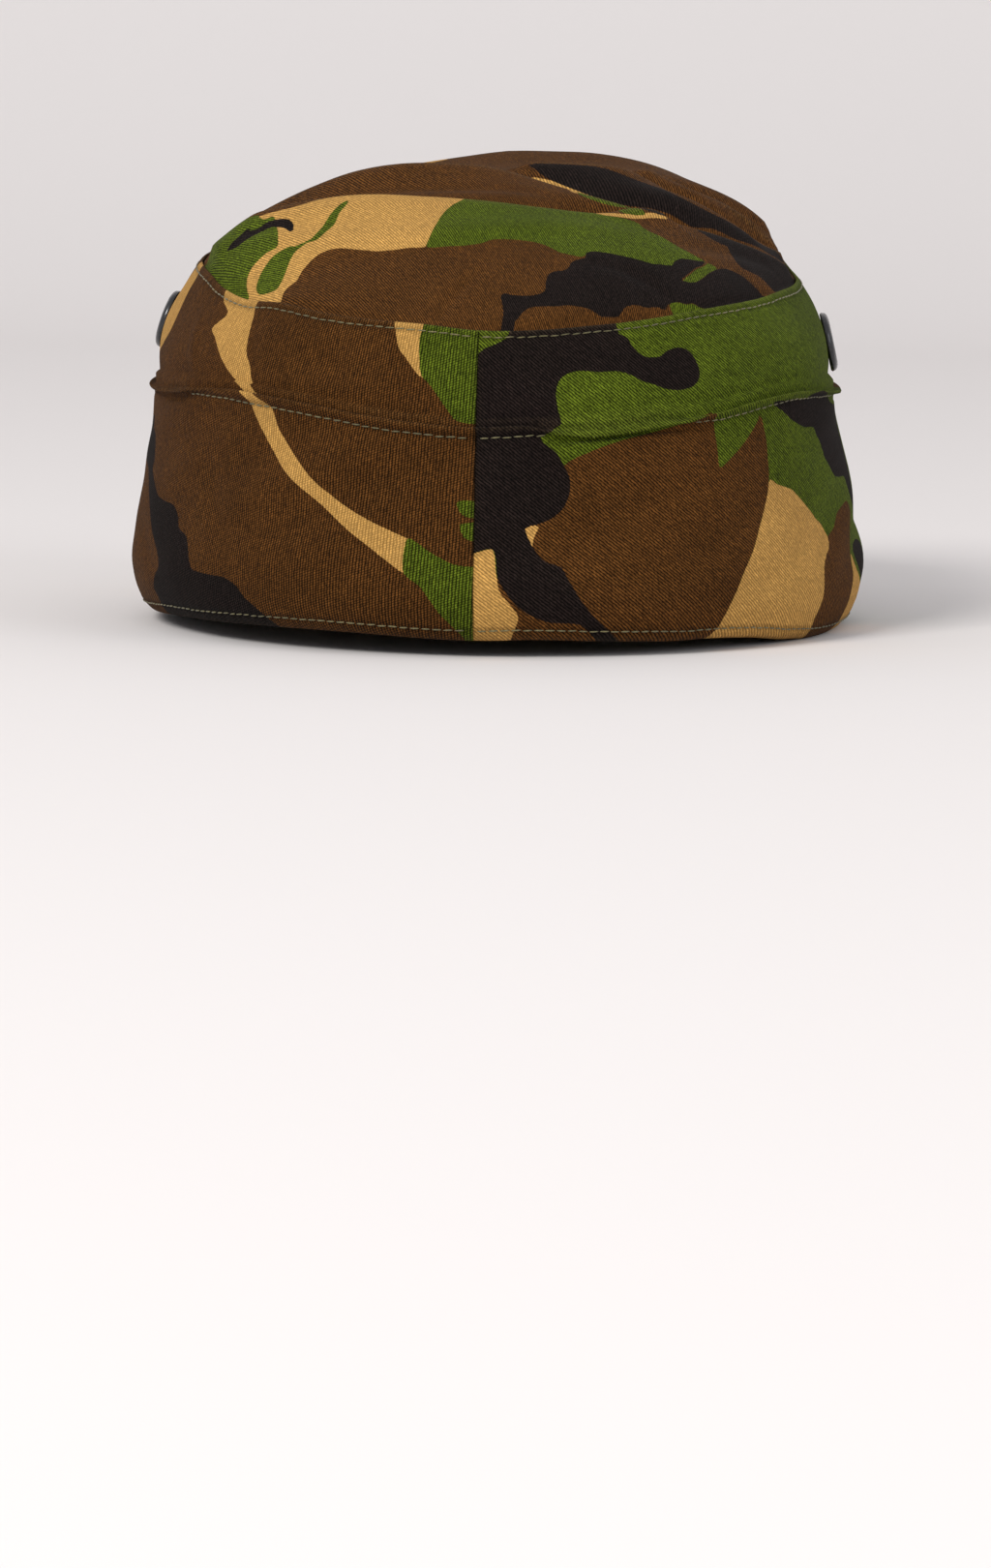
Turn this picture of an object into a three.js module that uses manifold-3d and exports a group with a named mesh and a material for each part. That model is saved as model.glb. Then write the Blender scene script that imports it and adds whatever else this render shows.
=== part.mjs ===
// A soft field cap with a stowed ear flap, sewn from printed cotton twill, at its real size in millimetres.
// +Z is up, the peak points along -Y and the wearer's left is +X. It stands on its hem at z = 0.

import * as THREE from 'three';
import { mergeVertices } from 'three/addons/utils/BufferGeometryUtils.js';
import Module from 'manifold-3d';

const wasm = await Module();
wasm.setup();

// The hem, measured on the outside of the cloth from the middle of the head opening.
const HALF_WIDTH = 79.8;
const REACH_BACK = 101;
const REACH_FRONT = 99;

// Heights above the surface that the cap stands on.
const TUCK_HEIGHT = { back: 49, side: 53.5, front: 57 };
const SEAM_HEIGHT = { back: 71.5, side: 80, front: 106.5 };

// At the rear quarters both lines ride up. angle and spread are in degrees from centre back.
const TUCK_RIDE = { left: 5.2, right: 6, angle: { left: 47, right: 55 }, spread: 27 };
const SEAM_RIDE = { left: 4.7, right: 6.4, angle: { left: 50, right: 52 }, spread: 30 };

// The hem rests along both sides. The back is lifted a little, further round on the wearer's left, and the front
// arches over the root of the peak. These are shares of the way from centre back to centre front.
const HEM_LIFT_BACK = 4.6;
const HEM_LIFT_FRONT = 15;
const HEM_REST = { left: 0.5, right: 0.24, front: 0.68 };
const HEM_FADE_FROM = 0.04;

// The band below the tuck stands out over the flap that is stowed behind it, and the crown seam lies further in.
const BULGE = 5.3;
const FRONT_BULGE = 2;
const SEAM_INSET = { back: 9, side: 9.4, front: 9 };

// The crown's dome: how late it drops towards centre back, how square it is across, how far its highest line leans
// to the wearer's right, as a share of its half width, and where it starts to bend down to its seam.
const CROWN_DROP_POWER = 3.9;
const CROWN_SQUARENESS = 3;
const CROWN_LEAN = 0.14;
const CROWN_RIM = 0.88;

// Cloth and seams.
const CLOTH = 1.6;
const SEAM_GAP = 0.3;
const SEAM_ALLOWANCE = 4;
const BAND_EDGE = 0.6;
const TUCK_LIP = 2.2;
const TUCK_THICKNESS = 1.7;
const TUCK_LEAN = 0.42;

// The ear flap, folded up inside the band.
const FLAP_THICKNESS = 2;
const FLAP_GAP = 0.4;
const FLAP_END_ANGLE = 112;
const FLAP_FOOT = 4;
const FLAP_TOP_BELOW_TUCK = 5;
const FLAP_END_HEIGHT = 17;

// The peak.
const PEAK_REACH = 60;
const PEAK_HALF_ANGLE = 56;
const PEAK_THICKNESS = 2.6;
const PEAK_DROP = 7;
const PEAK_SPREAD = 1.05;

// The vents: a flanged eyelet clinched through each side of the upper band.
const VENT_ANGLE = 92;
const VENT_RISE = { left: 0.49, right: 0.42 };
const VENT_RADIUS = 7;
const VENT_DOME = 1.9;
const VENT_BORE_RADIUS = 2.6;
const VENT_BARREL_WALL = 0.8;
const VENT_WASHER_RADIUS = 5.2;
const VENT_WASHER_THICKNESS = 0.7;
const VENT_SEAT_GAP = 0.55;

// How finely each piece is faceted.
const SIDE_STATIONS = 34;
const CROWN_STATIONS = 64;
const CROWN_RINGS = 17;
const FLAP_STATIONS = 42;
const PEAK_STATIONS = 30;
const VENT_SEGMENTS = 22;

// The band's section from hem to tuck. rise is a share of the band's height, bulge a share of BULGE.
const LOWER_ROWS = [
  { name: 'hem', rise: 0, bulge: 0 },
  { name: 'hem_turn', rise: 0.03, bulge: 0.35 },
  { name: 'low', rise: 0.1, bulge: 0.75 },
  { name: 'belly', rise: 0.21, bulge: 1 },
  { name: 'middle', rise: 0.5, bulge: 0.66 },
  { name: 'shoulder', rise: 0.76, bulge: 0.32 },
  { name: 'under_tuck', rise: 0.96, bulge: 0.04 },
];

// The section from tuck to crown seam. rise is a share of that height, inset a share of SEAM_INSET.
const UPPER_ROWS = [
  { name: 'over_tuck', rise: 0.045, inset: 0.08 },
  { name: 'low', rise: 0.26, inset: 0.15 },
  { name: 'middle', rise: 0.52, inset: 0.36 },
  { name: 'high', rise: 0.78, inset: 0.66 },
  { name: 'seam', rise: 1, inset: 1 },
];

// Soft dents in the side of the cap. angle is in degrees from centre back, towards the wearer's left.
// height is 0 at the hem, 1 at the tuck and 2 at the crown seam, and depth is in shares of CLOTH.
const DENTS = [
  { angle: 24, height: 1.5, halfAngle: 13, halfHeight: 0.4, depth: 0.8 },
  { angle: 55, height: 1.35, halfAngle: 9, halfHeight: 0.5, depth: -0.5 },
  { angle: 72, height: 1.25, halfAngle: 10, halfHeight: 0.35, depth: 0.7 },
  { angle: 48, height: 0.55, halfAngle: 14, halfHeight: 0.5, depth: 0.5 },
  { angle: 20, height: 0.35, halfAngle: 12, halfHeight: 0.4, depth: -0.4 },
  { angle: 130, height: 0.6, halfAngle: 12, halfHeight: 0.5, depth: 0.7 },
  { angle: 155, height: 1.45, halfAngle: 12, halfHeight: 0.4, depth: 0.8 },
  { angle: -30, height: 1.5, halfAngle: 15, halfHeight: 0.4, depth: 0.5 },
  { angle: -26, height: 0.5, halfAngle: 16, halfHeight: 0.35, depth: 0.6 },
  { angle: -62, height: 1.4, halfAngle: 12, halfHeight: 0.4, depth: -0.6 },
  { angle: -70, height: 0.6, halfAngle: 12, halfHeight: 0.4, depth: 0.5 },
  { angle: -122, height: 0.7, halfAngle: 12, halfHeight: 0.5, depth: 0.8 },
  { angle: -150, height: 1.5, halfAngle: 14, halfHeight: 0.45, depth: 0.7 },
  { angle: -112, height: 2, halfAngle: 26, halfHeight: 0.5, depth: 1.5 },
];

// Soft folds across the crown, each a crest that runs from one side to the other over three plan points.
// x is a share of the crown's half width, towards the wearer's left, and y of its reach, towards the back.
// height is a share of FOLD_HEIGHT, rear and front are the crest's half widths as shares of the crown's reach.
const FOLD_HEIGHT = 3;
const FOLD_FADE = { length: 0.15, end: 0.25 };
const CROWN_FOLDS = [
  { name: 'rear_crest', from: [0.9, 0.16], by: [0.05, 0.42], to: [-1, 0.12], height: 1, rear: 0.2, front: 0.08 },
  { name: 'middle_crest', from: [0.75, -0.12], by: [0.1, 0.02], to: [-0.7, 0.4], height: 1, rear: 0.12, front: 0.09 },
  { name: 'front_crest', from: [0.5, -0.3], by: [-0.35, -0.3], to: [-1, 0.02], height: 0.8, rear: 0.12, front: 0.08 },
  { name: 'front_roll', from: [0.6, -0.62], by: [-0.1, -0.68], to: [-0.85, -0.42], height: 0.5, rear: 0.1, front: 0.1 },
  { name: 'rear_crease', from: [0.7, 0.5], by: [0.1, 0.66], to: [-0.6, 0.55], height: -0.35, rear: 0.1, front: 0.1 },
  { name: 'seam_pucker', from: [0.1, 0.98], by: [0.04, 0.88], to: [-0.02, 0.8], height: -0.35, rear: 0.03, front: 0.03 },
];

const LEFT = 1;
const RIGHT = -1;
const radians = THREE.MathUtils.degToRad;
const smoothstep = THREE.MathUtils.smoothstep;

// How far round the cap a direction is: 0 at centre back, 0.5 at the sides, 1 at centre front.
const forwardShare = (angle) => (1 - Math.cos(angle)) / 2;

// A curve through three heights, at centre back, the sides and centre front.
function swept(heights, share) {
  const bend = 2 * (heights.back - 2 * heights.side + heights.front);
  const lean = heights.front - heights.back - bend;
  return heights.back + lean * share + bend * share * share;
}

// Angles are from centre back, towards the wearer's left. This brings one to between -180 and 180 degrees.
const wrapped = (degrees) => THREE.MathUtils.euclideanModulo(degrees + 180, 360) - 180;

// How far one of the lines rides up at an angle.
function ride(line, angle) {
  const turn = wrapped(THREE.MathUtils.radToDeg(angle));
  const left = line.left * Math.exp(-(((turn - line.angle.left) / line.spread) ** 2));
  const right = line.right * Math.exp(-(((turn + line.angle.right) / line.spread) ** 2));
  return left + right;
}

const tuckHeight = (angle) => swept(TUCK_HEIGHT, forwardShare(angle)) + ride(TUCK_RIDE, angle);
const seamHeight = (angle) => swept(SEAM_HEIGHT, forwardShare(angle)) + ride(SEAM_RIDE, angle);
const hemHeight = (angle) => {
  const share = forwardShare(angle);
  const rest = Math.sin(angle) > 0 ? HEM_REST.left : HEM_REST.right;
  const back = HEM_LIFT_BACK * (1 - smoothstep(share, HEM_FADE_FROM, rest));
  return back + HEM_LIFT_FRONT * smoothstep(share, HEM_REST.front, 1);
};

// A value that belongs to each row of a table, at a given rise, straight between the rows.
function between(rows, rise, valueOf) {
  const next = rows.findIndex((row) => row.rise >= rise);
  if (next < 0) return valueOf(rows[rows.length - 1]);
  if (next === 0) return valueOf(rows[0]);
  const low = rows[next - 1];
  const high = rows[next];
  return THREE.MathUtils.mapLinear(rise, low.rise, high.rise, valueOf(low), valueOf(high));
}

// How far the cloth stands out from, or in from, its smooth line at a place on the side.
function dent(angle, height) {
  return DENTS.reduce((sum, row) => {
    const across = wrapped(THREE.MathUtils.radToDeg(angle) - row.angle) / row.halfAngle;
    const up = (height - row.height) / row.halfHeight;
    return sum - row.depth * CLOTH * Math.exp(-across * across - up * up);
  }, 0);
}

// A point of the side wall. level is 0 at the hem, 1 at the tuck and 2 at the crown seam, and out moves it outwards.
function wallPoint(angle, level, out = 0, lift = 0) {
  const upper = level > 1;
  const rows = upper ? UPPER_ROWS : LOWER_ROWS;
  const start = upper ? 1 : 0;
  const bulge = upper ? 0 : between(rows, level, (row) => row.bulge);
  const inset = upper ? between(rows, level - 1, (row) => row.inset) : 0;
  const dentOf = (row) => dent(angle, start + row.rise) * smoothstep(start + row.rise, 0, 0.2);
  const shift = out + between(rows, level - start, dentOf);
  const frontward = Math.cos(angle) < 0;
  const halfWidth = HALF_WIDTH + bulge * BULGE - inset * SEAM_INSET.side + shift;
  const reach = frontward
    ? REACH_FRONT + bulge * FRONT_BULGE - inset * SEAM_INSET.front + shift
    : REACH_BACK + bulge * BULGE - inset * SEAM_INSET.back + shift;
  const low = upper ? tuckHeight(angle) : hemHeight(angle);
  const high = upper ? seamHeight(angle) : tuckHeight(angle);
  const z = low + (high - low) * (upper ? level - 1 : level) + lift;
  return new THREE.Vector3(halfWidth * Math.sin(angle), reach * Math.cos(angle), z);
}

// The level, from 0 to 2, of a height above the surface at one angle.
function levelAt(angle, z) {
  const tuck = tuckHeight(angle);
  if (z > tuck) return 1 + (z - tuck) / (seamHeight(angle) - tuck);
  return (z - hemHeight(angle)) / (tuck - hemHeight(angle));
}

// A closed body skinned over sections, each a closed loop of points. A round one joins its last section to its first.
function skin(sections, { round = false } = {}) {
  const size = sections[0].length;
  const points = sections.flat();
  const faces = [];
  const quad = (a, b, c, d) => faces.push(a, b, c, a, c, d);
  const last = round ? sections.length : sections.length - 1;
  for (let i = 0; i < last; i += 1) {
    const here = i * size;
    const there = ((i + 1) % sections.length) * size;
    for (let j = 0; j < size; j += 1) {
      const next = (j + 1) % size;
      quad(here + j, there + j, there + next, here + next);
    }
  }
  if (!round) {
    capEnd(sections[0], 0, faces, false);
    capEnd(sections[sections.length - 1], (sections.length - 1) * size, faces, true);
  }
  return closedGeometry(points, faces);
}

// Fills the end loop of a skin with triangles, in the plane that the loop lies closest to.
function capEnd(loop, start, faces, turned) {
  const across = new THREE.Vector3().subVectors(loop[loop.length >> 1], loop[0]).setZ(0).normalize();
  const flat = loop.map((point) => new THREE.Vector2(point.dot(across), point.z));
  const clockwise = THREE.ShapeUtils.area(flat) < 0;
  const order = clockwise ? flat.map((p, i) => loop.length - 1 - i) : flat.map((p, i) => i);
  const triangles = THREE.ShapeUtils.triangulateShape(order.map((i) => flat[i]), []);
  for (const [a, b, c] of triangles) {
    const corners = [start + order[a], start + order[b], start + order[c]];
    if (turned !== clockwise) corners.reverse();
    faces.push(...corners);
  }
}

// A geometry of the points and faces, merged, without the triangles that a pole makes empty, and facing out.
function closedGeometry(points, faces) {
  const loose = new THREE.BufferGeometry().setFromPoints(points);
  loose.setIndex(faces);
  const merged = mergeVertices(loose, 1e-3);
  const index = merged.index.array;
  const kept = [];
  for (let i = 0; i < index.length; i += 3) {
    const [a, b, c] = [index[i], index[i + 1], index[i + 2]];
    if (a !== b && b !== c && a !== c) kept.push(a, b, c);
  }
  merged.setIndex(signedVolume(merged, kept) < 0 ? kept.reverse() : kept);
  return merged;
}

function signedVolume(geometry, index) {
  const at = (i) => new THREE.Vector3().fromBufferAttribute(geometry.getAttribute('position'), i);
  let volume = 0;
  for (let i = 0; i < index.length; i += 3) {
    volume += at(index[i]).dot(at(index[i + 1]).cross(at(index[i + 2]))) / 6;
  }
  return volume;
}

// One geometry less another.
function cut(geometry, tool) {
  return geometryOf(solidOf(geometry).subtract(solidOf(tool)));
}

function solidOf(geometry) {
  const bare = geometry.clone();
  bare.deleteAttribute('normal');
  bare.deleteAttribute('uv');
  const merged = mergeVertices(bare, 1e-4);
  return new wasm.Manifold(
    new wasm.Mesh({
      numProp: 3,
      vertProperties: merged.getAttribute('position').array,
      triVerts: new Uint32Array(merged.index.array),
    }),
  );
}

function geometryOf(solid) {
  const mesh = solid.getMesh();
  const geometry = new THREE.BufferGeometry();
  geometry.setAttribute('position', new THREE.BufferAttribute(mesh.vertProperties, 3));
  geometry.setIndex(new THREE.BufferAttribute(mesh.triVerts, 1));
  return geometry;
}

// How far the tuck's lip leans: pressed up on the wearer's left, down on the right, changing over near centre back.
const lipLean = (angle) => TUCK_LIP * TUCK_LEAN * THREE.MathUtils.clamp(Math.sin(angle) * 4, -1, 1);

// The section of a side panel at one angle: up the outside, over the tuck's lip, and down the inside.
function sideSection(angle) {
  const lip = TUCK_THICKNESS / 2;
  const lean = lipLean(angle);
  const outside = [
    ...LOWER_ROWS.map((row) => wallPoint(angle, row.rise)),
    wallPoint(angle, 1, TUCK_LIP * 0.75, lean * 0.8 - lip),
    wallPoint(angle, 1, TUCK_LIP, lean),
    wallPoint(angle, 1, TUCK_LIP * 0.75, lean * 0.9 + lip),
    ...UPPER_ROWS.map((row) => wallPoint(angle, 1 + row.rise)),
  ];
  const inside = [
    ...UPPER_ROWS.map((row) => wallPoint(angle, 1 + row.rise, -CLOTH)).reverse(),
    ...LOWER_ROWS.map((row) => wallPoint(angle, row.rise, -CLOTH)).reverse(),
  ];
  return [...outside, ...inside];
}

// Half of the side, from the seam at centre back to the seam at centre front, with the hole for its vent.
function sidePanel(side) {
  const seamAngle = SEAM_GAP / 2 / REACH_BACK;
  const sections = [];
  for (let i = 0; i <= SIDE_STATIONS; i += 1) {
    const angle = THREE.MathUtils.lerp(seamAngle, Math.PI - seamAngle, i / SIDE_STATIONS);
    sections.push(sideSection(side * angle));
  }
  const barrel = VENT_BORE_RADIUS + VENT_BARREL_WALL;
  const drill = new THREE.CylinderGeometry(barrel + SEAM_GAP, barrel + SEAM_GAP, 8 * CLOTH, VENT_SEGMENTS);
  drill.applyMatrix4(ventPlace(side));
  return cut(skin(sections), drill);
}

// Where a vent sits: its own +Y axis along the cloth's outward normal, its origin on the cloth's outer face.
function ventPlace(side) {
  const angle = side * radians(VENT_ANGLE);
  const level = 1 + (side === LEFT ? VENT_RISE.left : VENT_RISE.right);
  const step = 0.04;
  const place = wallPoint(angle, level);
  const along = wallPoint(angle + step, level).sub(wallPoint(angle - step, level));
  const up = wallPoint(angle, level + step).sub(wallPoint(angle, level - step));
  const normal = up.cross(along).normalize();
  if (normal.x * side < 0) normal.negate();
  const turn = new THREE.Quaternion().setFromUnitVectors(new THREE.Vector3(0, 1, 0), normal);
  return new THREE.Matrix4().compose(place, turn, new THREE.Vector3(1, 1, 1));
}

// A flanged ring with a domed outer face, a barrel through the cloth and a washer clinched inside.
function vent(side) {
  const barrel = VENT_BORE_RADIUS + VENT_BARREL_WALL;
  const inner = -CLOTH - VENT_SEAT_GAP;
  const profile = [
    [VENT_BORE_RADIUS, inner - VENT_WASHER_THICKNESS],
    [VENT_WASHER_RADIUS, inner - VENT_WASHER_THICKNESS],
    [VENT_WASHER_RADIUS, inner],
    [barrel, inner],
    [barrel, SEAM_GAP],
    [VENT_RADIUS * 0.95, SEAM_GAP],
    [VENT_RADIUS, SEAM_GAP + VENT_DOME * 0.2],
    [VENT_RADIUS * 0.95, SEAM_GAP + VENT_DOME * 0.55],
    [VENT_RADIUS * 0.8, SEAM_GAP + VENT_DOME * 0.9],
    [VENT_RADIUS * 0.64, SEAM_GAP + VENT_DOME],
    [VENT_RADIUS * 0.48, SEAM_GAP + VENT_DOME * 0.8],
    [VENT_BORE_RADIUS, SEAM_GAP + VENT_DOME * 0.2],
    [VENT_BORE_RADIUS, inner - VENT_WASHER_THICKNESS],
  ];
  const ring = new THREE.LatheGeometry(profile.map(([r, y]) => new THREE.Vector2(r, y)), VENT_SEGMENTS);
  ring.applyMatrix4(ventPlace(side));
  return ring;
}

// The crown's edge lies inside the top of the side panels, a gap away from their inner face.
function crownEdge(angle, below) {
  return wallPoint(angle, levelAt(angle, seamHeight(angle) - below), -CLOTH - SEAM_GAP);
}

// The height of the crown along its middle line. share is 0 at centre front and 1 at centre back.
function crestHeight(share) {
  const rise = SEAM_HEIGHT.front - SEAM_HEIGHT.back;
  return SEAM_HEIGHT.front - BAND_EDGE - rise * Math.pow(share, CROWN_DROP_POWER);
}

// The raised or sunk part of one fold at a plan point, both in shares.
function foldAt(fold, x, y) {
  const curve = new THREE.QuadraticBezierCurve(
    new THREE.Vector2(...fold.from),
    new THREE.Vector2(
      2 * fold.by[0] - (fold.from[0] + fold.to[0]) / 2,
      2 * fold.by[1] - (fold.from[1] + fold.to[1]) / 2,
    ),
    new THREE.Vector2(...fold.to),
  );
  const steps = 24;
  let best = { distance: Infinity, along: 0, side: 0 };
  for (let i = 0; i <= steps; i += 1) {
    const point = curve.getPoint(i / steps);
    const distance = Math.hypot(point.x - x, point.y - y);
    if (distance < best.distance) best = { distance, along: i / steps, side: y - point.y };
  }
  const width = best.side > 0 ? fold.rear : fold.front;
  const fromEnd = Math.min(best.along, 1 - best.along);
  const fade = THREE.MathUtils.lerp(FOLD_FADE.end, 1, smoothstep(fromEnd, 0, FOLD_FADE.length));
  return fold.height * FOLD_HEIGHT * fade * Math.exp(-((best.distance / width) ** 2));
}

// A point of the crown's outer face. ring is 0 at the middle and 1 at the seam.
function crownPoint(angle, ring) {
  const edge = crownEdge(angle, BAND_EDGE);
  const back = crownEdge(0, BAND_EDGE).y;
  const front = -crownEdge(Math.PI, BAND_EDGE).y;
  const halfWidth = crownEdge(Math.PI / 2, BAND_EDGE).x;
  const x = edge.x * ring;
  const y = edge.y * ring;
  const yShare = y / (y > 0 ? back : front);
  const rowHalfWidth = halfWidth * Math.sqrt(Math.max(1 - yShare * yShare, 1e-6));
  const forward = (1 - yShare) / 2;
  const rowEnd = Math.sign(x) * Math.acos(THREE.MathUtils.clamp(yShare, -1, 1));
  const seam = seamHeight(rowEnd) - BAND_EDGE;
  const off = Math.min(Math.abs(x) / rowHalfWidth, 1) * Math.sign(x);
  const arch = 1 - Math.pow(Math.abs(off + CROWN_LEAN * (1 - off * off)), CROWN_SQUARENESS);
  const folds = CROWN_FOLDS.reduce((sum, fold) => sum + foldAt(fold, x / halfWidth, yShare), 0);
  const dome = seam + (crestHeight(1 - forward) - seam) * arch + folds;
  return new THREE.Vector3(x, y, THREE.MathUtils.lerp(dome, edge.z, smoothstep(ring, CROWN_RIM, 1)));
}

// The crown's cloth at one point, moved in by its thickness.
function crownInside(angle, ring) {
  const step = 0.02;
  const here = crownPoint(angle, ring);
  const out = crownPoint(angle, Math.min(ring + step, 1)).sub(crownPoint(angle, Math.max(ring - step, 0.001)));
  const along = crownPoint(angle + step, Math.max(ring, step)).sub(crownPoint(angle - step, Math.max(ring, step)));
  const normal = along.cross(out).normalize();
  if (normal.z < 0) normal.negate();
  return here.addScaledVector(normal, -CLOTH);
}

// The top panel: a domed, folded sheet whose edge turns down inside the side panels.
function crownTop() {
  const crowding = 0.85;
  const lastInside = 0.97;
  const rings = [];
  for (let i = 1; i <= CROWN_RINGS; i += 1) rings.push(Math.pow(i / CROWN_RINGS, crowding));
  const middle = crownPoint(0, 0);
  const under = middle.clone().setZ(middle.z - CLOTH);
  const insideRings = rings.filter((ring) => ring < lastInside).concat(lastInside).reverse();
  const sections = [];
  for (let i = 0; i < CROWN_STATIONS; i += 1) {
    const angle = (2 * Math.PI * i) / CROWN_STATIONS;
    const outer = rings.map((ring) => crownPoint(angle, ring));
    const foot = crownEdge(angle, BAND_EDGE + SEAM_ALLOWANCE);
    const footInside = wallPoint(angle, levelAt(angle, foot.z), -2 * CLOTH - SEAM_GAP);
    const inner = insideRings.map((ring) => crownInside(angle, ring));
    sections.push([middle, ...outer, foot, footInside, ...inner, under]);
  }
  return skin(sections, { round: true });
}

// The ear flap, folded up behind the lower band round the back and sides.
function earFlap() {
  const end = radians(FLAP_END_ANGLE);
  const rows = [0, 0.12, 0.3, 0.55, 0.8, 1];
  const sections = [];
  for (let i = 0; i <= FLAP_STATIONS; i += 1) {
    const angle = THREE.MathUtils.lerp(-end, end, i / FLAP_STATIONS);
    const full = tuckHeight(angle) - FLAP_TOP_BELOW_TUCK;
    const taper = Math.sqrt(1 - Math.pow(Math.abs(angle) / end, 10));
    const foot = hemHeight(angle) + FLAP_FOOT;
    const top = THREE.MathUtils.lerp(hemHeight(angle) + FLAP_END_HEIGHT, full, taper);
    const place = (share, out) => wallPoint(angle, levelAt(angle, foot + (top - foot) * share), out);
    const near = -CLOTH - FLAP_GAP;
    const outside = rows.map((share) => place(share, near));
    const inside = rows.map((share) => place(share, near - FLAP_THICKNESS)).reverse();
    sections.push([...outside, ...inside]);
  }
  return skin(sections);
}

// The peak, sewn under the front of the hem and sloping forward and down.
function peak() {
  const half = radians(PEAK_HALF_ANGLE);
  const shares = [0, 0.16, 0.34, 0.52, 0.7, 0.86, 0.97];
  const sections = [];
  for (let i = 0; i <= PEAK_STATIONS; i += 1) {
    const across = Math.sin((i / PEAK_STATIONS - 0.5) * Math.PI);
    const angle = Math.PI + across * half;
    const root = wallPoint(angle, 0);
    const rootInside = wallPoint(angle, 0, -CLOTH);
    const reach = PEAK_REACH * Math.sqrt(Math.max(1 - across * across, 0));
    const top = root.z - SEAM_GAP;
    const place = (share, depth) => {
      const slope = PEAK_DROP * (reach / PEAK_REACH) ** 2 * share * (0.7 + 0.3 * share);
      const x = root.x * THREE.MathUtils.lerp(1, PEAK_SPREAD, share);
      return new THREE.Vector3(x, root.y - reach * share, top - slope - depth);
    };
    const upper = shares.map((share) => place(share, 0));
    const lower = shares.map((share) => place(share, PEAK_THICKNESS)).reverse();
    const edge = place(1, PEAK_THICKNESS / 2);
    const rootTop = rootInside.clone().setZ(top);
    const rootUnder = rootInside.clone().setZ(top - PEAK_THICKNESS);
    sections.push([rootTop, ...upper, edge, ...lower, rootUnder]);
  }
  return skin(sections);
}

// Materials.
const cloth = (color) => new THREE.MeshStandardMaterial({ color, roughness: 0.9, metalness: 0 });
const MATERIALS = {
  crown: cloth(0x4a3a20),
  side: cloth(0x50401f),
  flap: cloth(0x55562f),
  peak: cloth(0x4d3d22),
  vent: new THREE.MeshStandardMaterial({ color: 0x17171a, roughness: 0.35, metalness: 0.6 }),
};

function piece(name, geometry, material) {
  const mesh = new THREE.Mesh(geometry, material);
  mesh.name = name;
  return mesh;
}

const cap = new THREE.Group();
cap.add(piece('crown_top', crownTop(), MATERIALS.crown));
cap.add(piece('side_left', sidePanel(LEFT), MATERIALS.side));
cap.add(piece('side_right', sidePanel(RIGHT), MATERIALS.side));
cap.add(piece('ear_flap', earFlap(), MATERIALS.flap));
cap.add(piece('peak', peak(), MATERIALS.peak));
cap.add(piece('vent_left', vent(LEFT), MATERIALS.vent));
cap.add(piece('vent_right', vent(RIGHT), MATERIALS.vent));

// The origin is the middle of the whole cap's box, on the surface under it.
const box = new THREE.Box3().setFromObject(cap);
cap.position.set(-(box.min.x + box.max.x) / 2, -(box.min.y + box.max.y) / 2, -box.min.z);

const part = new THREE.Group();
part.add(cap);

export default part;
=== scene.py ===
# %% [markdown]
# # A soft field cap with a stowed ear flap
# This lesson dresses a sewn cotton cap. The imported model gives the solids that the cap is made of: two side panels,
# a crown, an ear flap folded up inside the band, a peak and two vents. Real cloth is never as plain as a solid, so
# each piece is made again here as thin, creased, printed twill that lies where its solid lies.

# %% Load the solids
import math

import bmesh
import bpy
import numpy as np
from mathutils import Matrix, Vector


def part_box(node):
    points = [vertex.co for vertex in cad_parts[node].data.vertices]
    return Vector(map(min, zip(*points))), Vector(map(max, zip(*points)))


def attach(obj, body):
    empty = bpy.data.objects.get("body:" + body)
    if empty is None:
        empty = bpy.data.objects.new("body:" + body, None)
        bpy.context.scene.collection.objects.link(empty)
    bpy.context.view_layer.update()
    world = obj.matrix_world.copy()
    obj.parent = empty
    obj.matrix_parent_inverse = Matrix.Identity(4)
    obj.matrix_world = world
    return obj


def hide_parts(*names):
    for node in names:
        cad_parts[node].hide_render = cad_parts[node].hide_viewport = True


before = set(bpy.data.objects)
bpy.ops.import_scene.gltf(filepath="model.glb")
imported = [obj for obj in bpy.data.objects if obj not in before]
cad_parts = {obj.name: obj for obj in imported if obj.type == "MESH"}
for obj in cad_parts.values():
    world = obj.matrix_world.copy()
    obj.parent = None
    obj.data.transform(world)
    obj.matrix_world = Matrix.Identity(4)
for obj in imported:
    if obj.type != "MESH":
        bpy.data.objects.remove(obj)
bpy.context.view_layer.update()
MM = 0.001

# %% [markdown]
# ## The cap's sizes
# A cap is drafted from a few sizes: the head opening, the heights of its lines, and how far the cloth stands out
# between them. The same sizes drive the solids, so the cloth follows them. All lengths are in millimetres, and
# angles are in degrees from centre back, towards the wearer's left.

# %% Sizes of the band
HALF_WIDTH = 79.8
REACH = {"back": 101, "front": 99}
TUCK_HEIGHT = (49, 53.5, 57)
SEAM_HEIGHT = (71.5, 80, 106.5)
TUCK_RIDE = {"left": (5.2, 47), "right": (6, -55), "spread": 27}
SEAM_RIDE = {"left": (4.7, 50), "right": (6.4, -52), "spread": 30}
HEM_LIFT = {"back": 4.6, "front": 15}
HEM_REST = {"left": 0.5, "right": 0.24, "front": 0.68, "fade_from": 0.04}
BULGE = {"back": 5.3, "front": 2}
SEAM_INSET = {"back": 9, "side": 9.4, "front": 9}
CLOTH = 1.6
SEAM_GAP = 0.3
BAND_EDGE = 0.35
PEAK_REACH = 60

centre_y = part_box("peak")[0].y / MM + REACH["front"] + PEAK_REACH
print("the middle of the head opening lies at y =", round(centre_y, 2), "mm")

# %% [markdown]
# ## Lines and curves
# Heights along the cap change smoothly, so every short table here is read as a smooth curve through its rows.
# The hem, the tuck and the crown seam are three heights each, with small waves that the cloth has taken on.


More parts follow.
